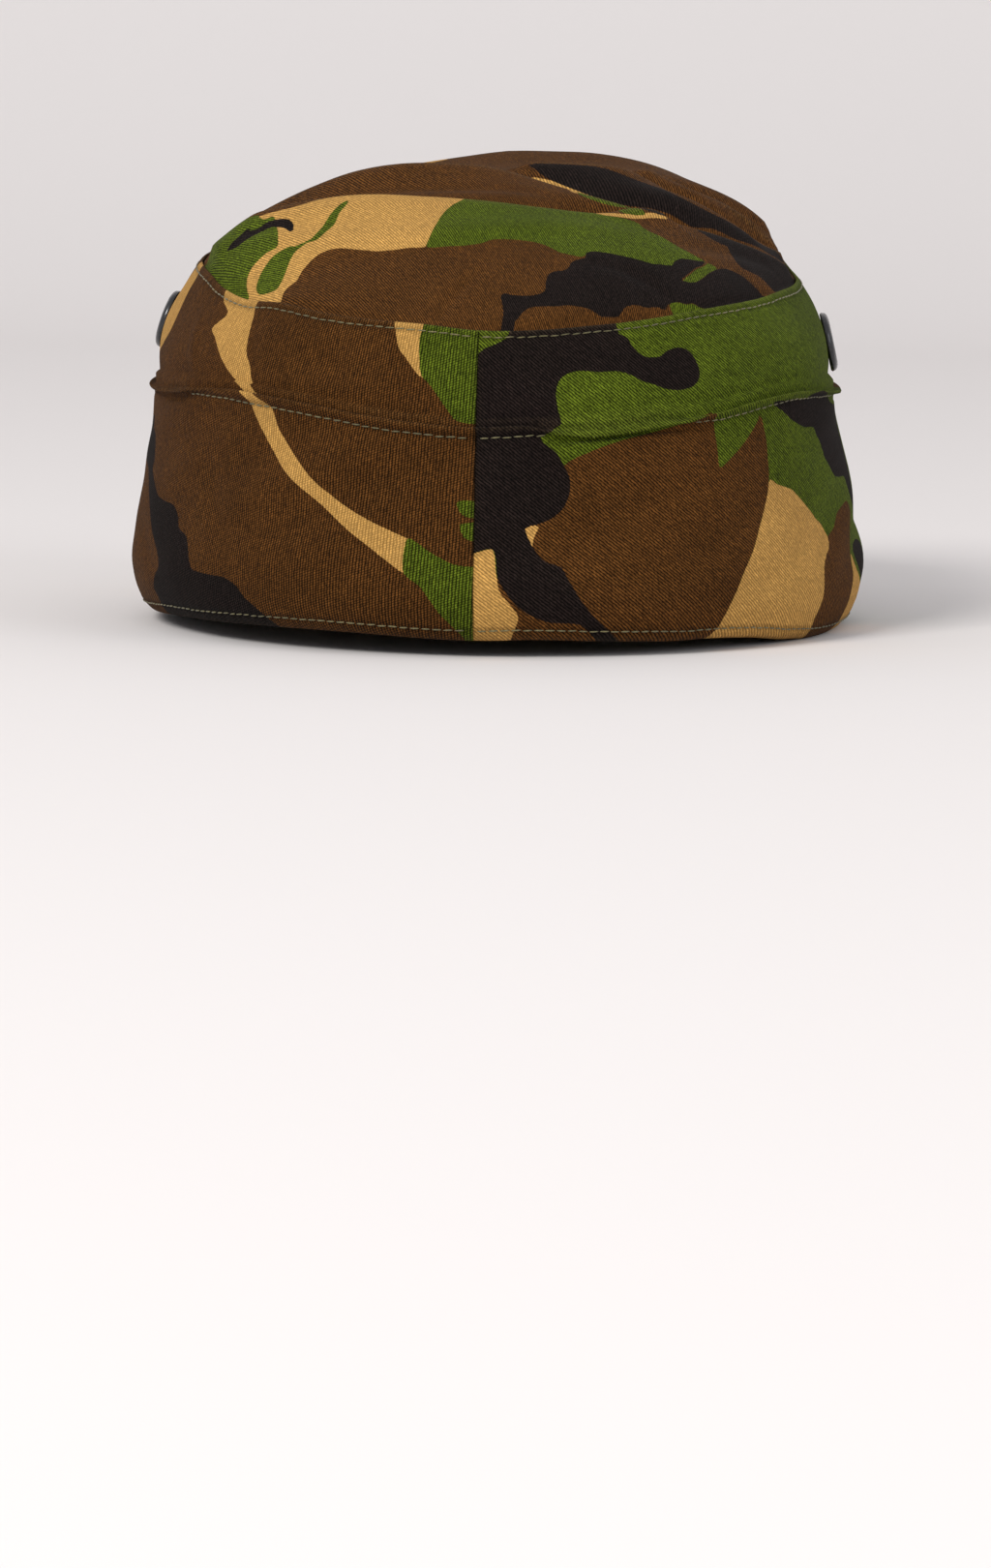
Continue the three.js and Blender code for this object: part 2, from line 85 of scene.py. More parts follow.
# %% Smooth curves through tables
def smoothstep(value, low, high):
    share = np.clip((value - low) / (high - low), 0, 1)
    return share * share * (3 - 2 * share)


def through(rows, at):
    """A smooth curve through rows of place and value, read at each place."""
    place, value = np.array(rows, float).T
    slope = np.gradient(value, place)
    at = np.clip(at, place[0], place[-1])
    row = np.clip(np.searchsorted(place, at) - 1, 0, len(place) - 2)
    width = place[row + 1] - place[row]
    share = (at - place[row]) / width
    late = share * share * (3 - 2 * share)
    bend = (share**3 - 2 * share**2 + share) * slope[row] + (share**3 - share**2) * slope[row + 1]
    return value[row] + late * (value[row + 1] - value[row]) + width * bend


def degrees_round(angle):
    """Degrees from centre back, between -180 and 180."""
    return (np.degrees(angle) + 180) % 360 - 180


# %% Heights of the hem, tuck and crown seam
HEM_WAVE = [(-180, 0), (-112, 0), (-92, 0.4), (-72, 0), (-66, 0.1), (-60, 0.7), (-51, 1.2), (-46, 0.7),
            (-40, -0.2), (-34, -1.2), (-26, -1.4), (-19, -1.1), (-11, -0.7), (0, -0.9), (20, 0), (40, 0.2),
            (50, 0.4), (60, 1.1), (78, 1.6), (95, 1.3), (110, 0), (180, 0)]
TUCK_WAVE = [(-180, 0), (-110, 0), (-90, -0.2), (-80, -0.6), (-70, -1.2), (-60, -1.7), (-50, -2.6), (-42, -2.8),
             (-36, -1.8), (-30, -0.4), (-20, 0.1), (-10, 0), (0, -0.5), (10, -0.2), (30, 0), (40, -0.5),
             (50, -0.5), (60, -0.2), (70, 0), (80, 0.3), (90, 0.6), (110, 0), (180, 0)]
SEAM_WAVE = [(-180, 0), (-130, 0), (-112, -1.4), (-102, -1.8), (-90, -0.6), (-80, -0.4), (-70, -0.8),
             (-60, -2.1), (-40, -2.3), (-30, -1.8), (-20, -1.1), (-10, -0.9), (0, -0.6), (10, 0.3),
             (20, 0.1), (30, -0.2), (40, 0), (50, -0.9), (60, 0.8), (68, 3.1), (75, 3.7), (90, 2.8),
             (104, 0.6), (120, 0), (180, 0)]


def forward_share(angle):
    """0 at centre back, 0.5 at the sides and 1 at centre front."""
    return (1 - np.cos(angle)) / 2


def swept(heights, share):
    """A curve through heights at centre back, the sides and centre front."""
    back, side, front = heights
    bend = 2 * (back - 2 * side + front)
    return back + (front - back - bend) * share + bend * share * share


def ride_up(line, angle):
    turn = degrees_round(angle)
    return sum(line[side][0] * np.exp(-(((turn - line[side][1]) / line["spread"]) ** 2)) for side in ("left", "right"))


def tuck_height(angle):
    wave = through(TUCK_WAVE, degrees_round(angle))
    return swept(TUCK_HEIGHT, forward_share(angle)) + ride_up(TUCK_RIDE, angle) + wave


def seam_height(angle):
    wave = through(SEAM_WAVE, degrees_round(angle))
    return swept(SEAM_HEIGHT, forward_share(angle)) + ride_up(SEAM_RIDE, angle) + wave


def hem_height(angle):
    share = forward_share(angle)
    rest = np.where(np.sin(angle) > 0, HEM_REST["left"], HEM_REST["right"])
    back = HEM_LIFT["back"] * (1 - smoothstep(share, HEM_REST["fade_from"], rest))
    front = HEM_LIFT["front"] * smoothstep(share, HEM_REST["front"], 1)
    return back + front + through(HEM_WAVE, degrees_round(angle))


for place, turn in (("back", 0), ("left", 90), ("front", 180)):
    spot = np.radians(turn)
    print(place, "hem, tuck, seam:", [round(float(h(spot)), 1) for h in (hem_height, tuck_height, seam_height)])

# %% [markdown]
# ## The lie of the cloth
# The band bulges over the flap behind it and the upper part leans in to the crown. Handling leaves broad dents and
# finer creases. Each is a soft bump, and a few slow waves from a seeded generator keep any stretch from being too
# even. Level 0 is the hem, 1 the tuck and 2 the crown seam.

# %% Dents and creases
# angle, level, half angle, half height, depth in shares of the cloth
DENTS = [
    (24, 1.5, 13, 0.4, 0.8), (55, 1.35, 9, 0.5, -0.5), (84, 1.4, 16, 0.45, -0.9), (48, 0.55, 14, 0.5, 0.5),
    (20, 0.35, 12, 0.4, -0.4), (130, 0.6, 12, 0.5, 0.7), (155, 1.45, 12, 0.4, 0.8), (-30, 1.5, 15, 0.4, 0.5),
    (-26, 0.5, 16, 0.35, 0.6), (-62, 1.4, 12, 0.4, -0.6), (-70, 0.6, 12, 0.4, 0.5), (-122, 0.7, 12, 0.5, 0.8),
    (-150, 1.5, 14, 0.45, 0.7), (-112, 2, 26, 0.5, 1.5), (88, 1, 14, 0.25, 0.5), (-90, 1.05, 16, 0.4, 1.25),
    (80, 2, 14, 0.3, 0.6),
]
# angle and height in mm of each end of a crease, its half width in mm and its depth in mm
CREASES = [
    ((30, 66), (22, 61), 2.6, 0.8), ((46, 72), (40, 62), 3.0, 0.5), ((12, 58), (3, 54), 2.2, 0.45),
    ((62, 72), (56, 60), 2.4, -0.4), ((36, 57), (12, 55.5), 2.0, 0.4), ((-8, 66), (-3, 58), 2.2, 0.4),
    ((-18, 55), (-36, 59), 2.2, 0.55), ((-44, 60), (-66, 66), 3.0, 0.5), ((-60, 49), (-84, 44), 3.2, 0.5),
    ((18, 30), (34, 24), 4.0, 0.45), ((50, 40), (44, 26), 4.0, 0.4), ((-12, 40), (-34, 33), 4.0, 0.4),
    ((-40, 20), (-58, 12), 3.6, 0.4), ((74, 24), (60, 12), 4.0, 0.5), ((120, 76), (142, 66), 4.0, 0.8),
    ((150, 92), (166, 74), 3.6, 0.7), ((-118, 84), (-142, 72), 4.0, 0.8), ((-152, 96), (-168, 78), 3.6, 0.7),
    ((112, 34), (138, 26), 4.0, 0.6), ((-116, 30), (-140, 24), 4.0, 0.6), ((100, 62), (112, 72), 3.0, 0.5),
]
RIPPLE_SEED = 11
RIPPLES = 14
RIPPLE_DEPTH = 0.16
ripple_dice = np.random.default_rng(RIPPLE_SEED)
ripple_rows = ripple_dice.uniform([3, 0.02, 0], [16, 0.09, 2 * math.pi], (RIPPLES, 3))


def ripples(angle, height):
    """Slow unevenness of the cloth in mm."""
    around = angle[..., None] * np.round(ripple_rows[:, 0])
    return RIPPLE_DEPTH * np.sin(around + height[..., None] * ripple_rows[:, 1] * 2 * math.pi + ripple_rows[:, 2]).sum(-1) / 2


def crease_depth(angle, height):
    """How far the creases press the cloth in, in mm."""
    turn = degrees_round(angle) * REACH["back"] * math.pi / 180
    depth = np.zeros(np.broadcast(turn, height).shape)
    for start, end, half, deep in CREASES:
        ax, az = start[0] * REACH["back"] * math.pi / 180, start[1]
        bx, bz = end[0] * REACH["back"] * math.pi / 180, end[1]
        span = (bx - ax) ** 2 + (bz - az) ** 2
        share = np.clip(((turn - ax) * (bx - ax) + (height - az) * (bz - az)) / span, 0, 1)
        off = np.hypot(turn - ax - share * (bx - ax), height - az - share * (bz - az))
        depth += deep * np.exp(-((off / half) ** 2)) * (0.35 + 0.65 * np.sin(math.pi * share))
    return depth


def dent(angle, level):
    depth = np.zeros(np.broadcast(angle, level).shape)
    for row_angle, row_level, half_angle, half_height, deep in DENTS:
        across = ((degrees_round(angle) - row_angle + 180) % 360 - 180) / half_angle
        depth += deep * CLOTH * np.exp(-(across**2) - ((level - row_level) / half_height) ** 2)
    return -depth * smoothstep(level, 0, 0.2)


# %% The side wall's law
# How far the cloth stands out, as a share of the bulge, and in, as a share of the seam's inset.
LOWER_ROWS = [(0, 0), (0.03, 0.35), (0.1, 0.75), (0.21, 1), (0.5, 0.66), (0.76, 0.32), (0.96, 0.04), (1, 0)]
UPPER_ROWS = [(0, 0), (0.045, 0.08), (0.26, 0.15), (0.52, 0.36), (0.78, 0.66), (1, 1)]


def wall(angle, level, out=0.0, lift=0.0, worn=True):
    """Points of the side wall in mm. out moves them outwards and lift upwards, and worn adds the fine creases."""
    angle, level = np.broadcast_arrays(np.asarray(angle, float), np.asarray(level, float))
    upper = level > 1
    tuck, seam, hem = tuck_height(angle), seam_height(angle), hem_height(angle)
    height = np.where(upper, tuck + (seam - tuck) * (level - 1), hem + (tuck - hem) * level)
    bulge = np.where(upper, 0, through(LOWER_ROWS, level))
    inset = np.where(upper, through(UPPER_ROWS, level - 1), 0)
    shift = out + dent(angle, level)
    if worn:
        calm = smoothstep(level, 0, 0.25) * (1 - smoothstep(level, 1.75, 2))
        shift = shift + (ripples(angle, height) - crease_depth(angle, height)) * calm
    back = REACH["back"] + bulge * BULGE["back"] - inset * SEAM_INSET["back"]
    front = REACH["front"] + bulge * BULGE["front"] - inset * SEAM_INSET["front"]
    reach = np.where(np.cos(angle) < 0, front, back) + shift
    half_width = HALF_WIDTH + bulge * BULGE["back"] - inset * SEAM_INSET["side"] + shift
    return np.stack([half_width * np.sin(angle), centre_y + reach * np.cos(angle), height + lift], -1)


# %% Distance round the cap
# The print is charted on an oval that runs through the middle of the band.
CHART_OVAL = (82, 103)
turns = np.linspace(0, math.pi, 4000)
middles = (turns[1:] + turns[:-1]) / 2
steps = np.hypot(CHART_OVAL[0] * np.cos(middles), CHART_OVAL[1] * np.sin(middles)) * np.diff(turns)
lengths = np.concatenate([[0], np.cumsum(steps)])
HALF_ROUND = float(lengths[-1])
print("from the seam at centre back to centre front:", round(HALF_ROUND, 1), "mm")


def angle_at(along):
    """The angle of a distance round the cap from centre back."""
    return np.sign(along) * np.interp(np.abs(along), lengths, turns)


# %% [markdown]
# ## The camera
# The cap is seen from behind, from a little above, through a long lens. A long lens far away keeps the near and the
# far side at nearly the same size, as in the picture that the cap is rebuilt from.

# %% Camera at the picture's angle
PICTURE = (1024, 1620)
PIXELS_PER_RADIAN = 7088
DISTANCE = 1600
CAMERA_HEIGHT = 139
PITCH = math.radians(6.34)
AZIMUTH = math.radians(183.2)
ROLL = math.radians(0.6)
SIDE_STEP = 0.15
AIM_Y = 28.86
SENSOR = 36

camera_data = bpy.data.cameras.new("photo_camera")
camera_data.sensor_fit = "AUTO"
camera_data.sensor_width = SENSOR
camera_data.lens = PIXELS_PER_RADIAN * SENSOR / max(PICTURE)
camera_data.clip_start = 0.05
camera_data.clip_end = 20
camera = bpy.data.objects.new("photo_camera", camera_data)
bpy.context.scene.collection.objects.link(camera)
bpy.context.scene.camera = camera
ahead = Vector((-math.sin(AZIMUTH) * math.cos(PITCH), math.cos(AZIMUTH) * math.cos(PITCH), -math.sin(PITCH)))
right = ahead.cross(Vector((0, 0, 1))).normalized()
place = Vector((DISTANCE * math.sin(AZIMUTH), AIM_Y - DISTANCE * math.cos(AZIMUTH), CAMERA_HEIGHT)) + right * SIDE_STEP
camera.rotation_mode = "QUATERNION"
camera.rotation_quaternion = (ahead.to_track_quat("-Z", "Y").to_matrix() @ Matrix.Rotation(ROLL, 3, "Z")).to_quaternion()
camera.location = place * MM
print("lens in mm:", round(camera_data.lens, 1))

# %% [markdown]
# ## Floor and light
# A pale floor that sweeps up behind the cap has no corner, so it reads as one plain backdrop. The light is a large
# soft panel above the viewer's left shoulder, a weak one on the right, and a pale sky for the rest.


# %% Colours
def from_screen(red, green, blue):
    """A colour as seen on a screen, 0 to 255, as the linear colour that a shader takes."""
    shares = (value / 255 for value in (red, green, blue))
    return (*(s / 12.92 if s <= 0.04045 else ((s + 0.055) / 1.055) ** 2.4 for s in shares), 1.0)


# %% Floor with a sweep
FLOOR_HALF = 3.0
SWEEP_START = -1.3
SWEEP_RADIUS = 0.8

floor_mesh = bpy.data.meshes.new("floor_sweep")
bm = bmesh.new()
near_left = bm.verts.new((-FLOOR_HALF, FLOOR_HALF, 0))
near_right = bm.verts.new((FLOOR_HALF, FLOOR_HALF, 0))
front_edge = bm.edges.new((near_left, near_right))
grown = bmesh.ops.extrude_edge_only(bm, edges=[front_edge])
new_verts = [v for v in grown["geom"] if isinstance(v, bmesh.types.BMVert)]
bmesh.ops.translate(bm, verts=new_verts, vec=(0, SWEEP_START - FLOOR_HALF, 0))
far_edge = next(e for e in bm.edges if all(v in new_verts for v in e.verts))
spun = bmesh.ops.spin(bm, geom=[far_edge, *new_verts], cent=(0, SWEEP_START, SWEEP_RADIUS), axis=(1, 0, 0),
                      angle=-math.pi / 2, steps=24)
top_edges = [e for e in spun["geom_last"] if isinstance(e, bmesh.types.BMEdge)]
grown = bmesh.ops.extrude_edge_only(bm, edges=top_edges)
top_verts = [v for v in grown["geom"] if isinstance(v, bmesh.types.BMVert)]
bmesh.ops.translate(bm, verts=top_verts, vec=(0, 0, FLOOR_HALF))
bmesh.ops.recalc_face_normals(bm, faces=bm.faces[:])
bm.to_mesh(floor_mesh)
bm.free()
for polygon in floor_mesh.polygons:
    polygon.use_smooth = True
floor = bpy.data.objects.new("floor_sweep", floor_mesh)
bpy.context.scene.collection.objects.link(floor)
low, high = [min(v.co.z for v in floor_mesh.vertices), max(v.co.z for v in floor_mesh.vertices)]
print("floor from z =", round(low, 3), "to", round(high, 3), "m")

floor_paint = bpy.data.materials.new("pale_paper")
floor_paint.use_nodes = True
paper = floor_paint.node_tree.nodes["Principled BSDF"]
paper.inputs["Base Color"].default_value = from_screen(226, 222, 221)
paper.inputs["Roughness"].default_value = 0.9
paper.inputs["Specular IOR Level"].default_value = 0.1
floor_mesh.materials.append(floor_paint)


# %% Lights
def soft_panel(name, position, aim, size, power, colour):
    """A square area light that faces its aim."""
    data = bpy.data.lights.new(name, "AREA")
    data.shape = "SQUARE"
    data.size = size
    data.energy = power
    data.color = colour
    lamp = bpy.data.objects.new(name, data)
    bpy.context.scene.collection.objects.link(lamp)
    lamp.location = position
    lamp.rotation_mode = "QUATERNION"
    lamp.rotation_quaternion = (Vector(aim) - Vector(position)).to_track_quat("-Z", "Y")
    return lamp


soft_panel("window_light", (1.5, 2.6, 2.1), (0, 0, 0.05), 1.1, 92, (1.0, 0.985, 0.96))
soft_panel("fill_light", (-2.2, 1.6, 1.2), (0, 0, 0.05), 1.4, 16, (0.96, 0.98, 1.0))
world = bpy.data.worlds.new("pale_room")
bpy.context.scene.world = world
world.use_nodes = True
world.node_tree.nodes["Background"].inputs["Color"].default_value = (0.93, 0.93, 0.95, 1)
world.node_tree.nodes["Background"].inputs["Strength"].default_value = 0.66
bpy.context.scene.view_settings.view_transform = "Standard"

# %% [markdown]
# ## Printed cotton twill
# The cloth is one fabric in four inks. Its colours could be painted on a picture, but a picture blurs when the view
# comes close. Instead every vertex carries how far inside each printed shape it lies, and the shader cuts the edge
# there, so the print stays sharp. The twill's ribs come from plain waves in the cloth's own millimetres: diagonal
# ribs, split into short floats where the crossing yarn passes over them. Their valleys and the stitch grooves are
# painted darker as painted shade, and a bump also sinks them.


# %% Shader helpers
class Shader:
    """Adds nodes to one material and joins them."""

    def __init__(self, name):
        self.material = bpy.data.materials.new(name)
        self.material.use_nodes = True
        self.tree = self.material.node_tree
        self.surface = self.tree.nodes["Principled BSDF"]

    def node(self, kind, settings=None, **links):
        made = self.tree.nodes.new(kind)
        for name, value in (settings or {}).items():
            setattr(made, name, value)
        for name, value in links.items():
            socket = made.inputs[int(name[1:])] if name[1:].isdigit() else made.inputs[name.replace("_", " ")]
            if isinstance(value, bpy.types.NodeSocket):
                self.tree.links.new(value, socket)
            else:
                socket.default_value = value
        return made

    def sum_of(self, operation, first, second=0.0, third=0.0):
        return self.node("ShaderNodeMath", {"operation": operation}, i0=first, i1=second, i2=third).outputs[0]

    def attribute(self, name, output="Fac"):
        return self.node("ShaderNodeAttribute", {"attribute_name": name}).outputs[output]

    def ramp(self, value, low, high, to_low=0.0, to_high=1.0):
        """Turns low to high into to_low to to_high, smoothly and within them."""
        return self.node("ShaderNodeMapRange", {"interpolation_type": "SMOOTHSTEP"}, Value=value, From_Min=low,
                         From_Max=high, To_Min=to_low, To_Max=to_high).outputs[0]

    def noise(self, vector, scale, detail=2.0, roughness=0.5):
        return self.node("ShaderNodeTexNoise", Vector=vector, Scale=scale, Detail=detail, Roughness=roughness).outputs[0]

    def blend(self, share, under, over, mode="MIX"):
        made = self.node("ShaderNodeMix", {"data_type": "RGBA", "blend_type": mode}, i0=share, i6=under, i7=over)
        return made.outputs[2]


# %% The printed twill
INKS = {
    "ground": from_screen(70, 43, 17),
    "green": from_screen(64, 75, 16),
    "brown": from_screen(70, 43, 17),
    "tan": from_screen(168, 128, 69),
    "leaf": from_screen(64, 75, 16),
    "black": from_screen(24, 18, 16),
}
INK_ORDER = ("green", "brown", "tan", "leaf", "black")
INK_EDGE = 0.11
INK_WOBBLE = 0.35
BACK_OF_CLOTH = from_screen(112, 94, 60)
RUBBED = from_screen(138, 116, 76)


def printed_twill(name, rib_angle, rib_pitch, float_pitch, floats_deep=0.5):
    """The cap's cloth. rib_angle is in degrees from upright, clockwise, and the pitches are in mm."""
    made = Shader(name)
    cloth = made.attribute("cloth", "Vector")
    wobble = made.noise(cloth, 1.7, 3)
    colour = INKS["ground"]
    pale = 0.0
    for ink in INK_ORDER:
        distance = made.sum_of("MULTIPLY_ADD", made.sum_of("SUBTRACT", wobble, 0.5), INK_WOBBLE, made.attribute(ink))
        share = made.ramp(distance, -INK_EDGE, INK_EDGE)
        colour = made.blend(share, colour, INKS[ink])
        if ink == "tan":
            pale = share
        elif ink in ("leaf", "black"):
            pale = made.sum_of("MULTIPLY", pale, made.sum_of("SUBTRACT", 1.0, share))

    turn = math.radians(rib_angle)
    across = made.node("ShaderNodeVectorMath", {"operation": "DOT_PRODUCT"}, i0=cloth,
                       i1=(math.cos(turn), math.sin(turn), 0)).outputs["Value"]
    down = made.node("ShaderNodeVectorMath", {"operation": "DOT_PRODUCT"}, i0=cloth,
                     i1=(-math.sin(turn), math.cos(turn), 0)).outputs["Value"]
    slub = made.noise(cloth, 0.9, 2)
    rib_count = made.sum_of("MULTIPLY_ADD", slub, 0.6, made.sum_of("MULTIPLY", across, 1 / rib_pitch))
    rib = made.sum_of("MULTIPLY_ADD", made.sum_of("SINE", made.sum_of("MULTIPLY", rib_count, 2 * math.pi)), 0.5, 0.5)
    float_count = made.sum_of("MULTIPLY_ADD", rib_count, 0.5, made.sum_of("MULTIPLY", down, 1 / float_pitch))
    float_wave = made.sum_of("SINE", made.sum_of("MULTIPLY", float_count, 2 * math.pi))
    floats = made.sum_of("MULTIPLY_ADD", float_wave, 0.5, 0.5)
    weave = made.sum_of("MULTIPLY", rib, made.sum_of("MULTIPLY_ADD", floats, floats_deep, 1 - floats_deep))

    squashed = made.node("ShaderNodeVectorRotate", {"rotation_type": "Z_AXIS"}, Vector=cloth, Angle=-turn).outputs[0]
    squashed = made.node("ShaderNodeVectorMath", {"operation": "MULTIPLY"}, i0=squashed, i1=(1, 0.12, 1)).outputs[0]
    yarn = made.noise(squashed, 2.3, 2, 0.6)
    patch = made.noise(cloth, 0.045, 3, 0.6)
    specks = made.noise(cloth, 1.1, 2, 0.7)

    # The valleys between the ribs are painted darker as painted shade. The yarn, patch and speck noises below are the
    # yarn's own uneven tone.
    valley = made.ramp(weave, 0.02, 0.55, 0.22, 1.74)
    shade = made.sum_of("MULTIPLY", valley, made.ramp(yarn, 0.25, 0.75, 0.65, 1.35))
    shade = made.sum_of("MULTIPLY", shade, made.ramp(patch, 0.3, 0.7, 0.9, 1.1))
    shade = made.sum_of("MULTIPLY", shade, made.ramp(specks, 0.3, 0.7, 0.66, 1.34))
    # The weave's painted shade shows less on the tan ink, whose colour is near that of the bare yarn.
    shade = made.sum_of("MULTIPLY_ADD", made.sum_of("SUBTRACT", 1.0, shade), made.sum_of("MULTIPLY", pale, 0.5), shade)

    lines = made.node("ShaderNodeSeparateXYZ", i0=made.attribute("lines", "Vector"))
    groove, gather = None, None
    for part in range(3):
        off = made.sum_of("ABSOLUTE", lines.outputs[part])
        narrow = made.ramp(off, 0.25, 1.0, 1.0, 0.0)
        wide = made.ramp(off, 0.4, 3.6, 1.0, 0.0)
        groove = narrow if groove is None else made.sum_of("MAXIMUM", groove, narrow)
        gather = wide if gather is None else made.sum_of("MAXIMUM", gather, wide)
    # The stitch grooves are painted a fifth darker, as painted shade.
    shade = made.sum_of("MULTIPLY", shade, made.sum_of("MULTIPLY_ADD", groove, -0.2, 1))
    grey = made.node("ShaderNodeCombineColor", i0=shade, i1=shade, i2=shade).outputs[0]
    colour = made.blend(1.0, colour, grey, "MULTIPLY")

    rub = made.sum_of("MULTIPLY", made.attribute("worn"), made.ramp(specks, 0.35, 0.7, 0.15, 1.0))
    rub = made.sum_of("MULTIPLY", rub, made.ramp(weave, 0.1, 0.8, 0.3, 1.0))
    colour = made.blend(made.sum_of("MULTIPLY", rub, 0.55), colour, RUBBED)
    inside = made.sum_of("MULTIPLY", made.attribute("inside"), 0.62)
    colour = made.blend(inside, colour, BACK_OF_CLOTH)
    made.tree.links.new(colour, made.surface.inputs["Base Color"])

    stretched = made.node("ShaderNodeVectorMath", {"operation": "MULTIPLY"}, i0=cloth, i1=(1, 0.3, 1)).outputs[0]
    pucker = made.sum_of("MULTIPLY", made.noise(stretched, 0.42, 1), gather)
    relief = made.sum_of("MULTIPLY_ADD", pucker, 3.2, made.sum_of("MULTIPLY", weave, 0.75))
    relief = made.sum_of("MULTIPLY_ADD", yarn, 0.35, relief)
    relief = made.sum_of("MULTIPLY_ADD", groove, -1.3, relief)
    bump = made.node("ShaderNodeBump", Strength=0.75, Distance=0.00016, Height=relief)
    made.tree.links.new(bump.outputs[0], made.surface.inputs["Normal"])
    rough = made.ramp(yarn, 0.2, 0.8, 0.82, 0.97)
    made.tree.links.new(rough, made.surface.inputs["Roughness"])
    made.surface.inputs["Specular IOR Level"].default_value = 0.04
    made.surface.inputs["Sheen Weight"].default_value = 0.015
    made.surface.inputs["Sheen Roughness"].default_value = 0.45
    return made.material


twills = {
    "left": printed_twill("left_twill", 3, 0.72, 0.55, 0.8),
    "right": printed_twill("right_twill", -52, 0.62, 1.1),
    "crown": printed_twill("crown_twill", -30, 0.62, 1.1),
    "flap": printed_twill("flap_twill", 40, 0.66, 1.1),
    "peak": printed_twill("peak_twill", -45, 0.66, 1.1),
}
print("cloths:", [m.name for m in twills.values()])

# %% [markdown]
# ## The print
# The fabric carries large wavy shapes of green, tan and black over brown, and each panel was cut from another part
# of it. The shapes were charted as outlines with few points on the flat cloth, and a smooth closed curve through
# the points gives the printed edge. The parts that the picture doesn't show continue in the same manner.


# %% From outlines to ink
OUTLINE_STEPS = 7


def closed_curve(points):
    """A smooth closed curve through the points."""
    ring = np.array(points, float)
    before, after = np.roll(ring, 1, 0), np.roll(ring, -1, 0)
    slope = (after - before) / 2
    share = np.linspace(0, 1, OUTLINE_STEPS, endpoint=False)[:, None, None]
    late = share * share * (3 - 2 * share)
    bend = (share**3 - 2 * share**2 + share) * slope + (share**3 - share**2) * np.roll(slope, -1, 0)
    return (ring + late * (after - ring) + bend * 0.7).transpose(1, 0, 2).reshape(-1, 2)


FAR_FROM_INK = 4.0


def inside_by(outline, places):
    """How far inside an outline each place lies, in mm, negative outside it."""
    curve = closed_curve(outline)
    low, high = curve.min(0) - FAR_FROM_INK, curve.max(0) + FAR_FROM_INK
    near = np.all((places > low) & (places < high), 1)
    result = np.full(len(places), -FAR_FROM_INK)
    spots = places[near]
    best = np.full(len(spots), np.inf)
    within = np.zeros(len(spots), bool)
    for start, end in zip(curve, np.roll(curve, -1, 0)):
        leg = end - start
        share = np.clip(((spots - start) @ leg) / max(leg @ leg, 1e-9), 0, 1)
        best = np.minimum(best, np.hypot(*(spots - start - share[:, None] * leg).T))
        crosses = (start[1] > spots[:, 1]) != (end[1] > spots[:, 1])
        reach = start[0] + (spots[:, 1] - start[1]) * leg[0] / (leg[1] if leg[1] else 1e-9)
        within ^= crosses & (spots[:, 0] < reach)
    result[near] = np.minimum(best, FAR_FROM_INK) * np.where(within, 1, -1)
    return result


def ink_from(chart, places):
    """For each ink, how far inside its nearest shape each place lies."""
    inks = {}
    for ink in INK_ORDER:
        shapes = [inside_by(outline, places) for outline in chart.get(ink, [])]
        inks[ink] = np.max(shapes, axis=0) if shapes else np.full(len(places), -FAR_FROM_INK)
    return inks


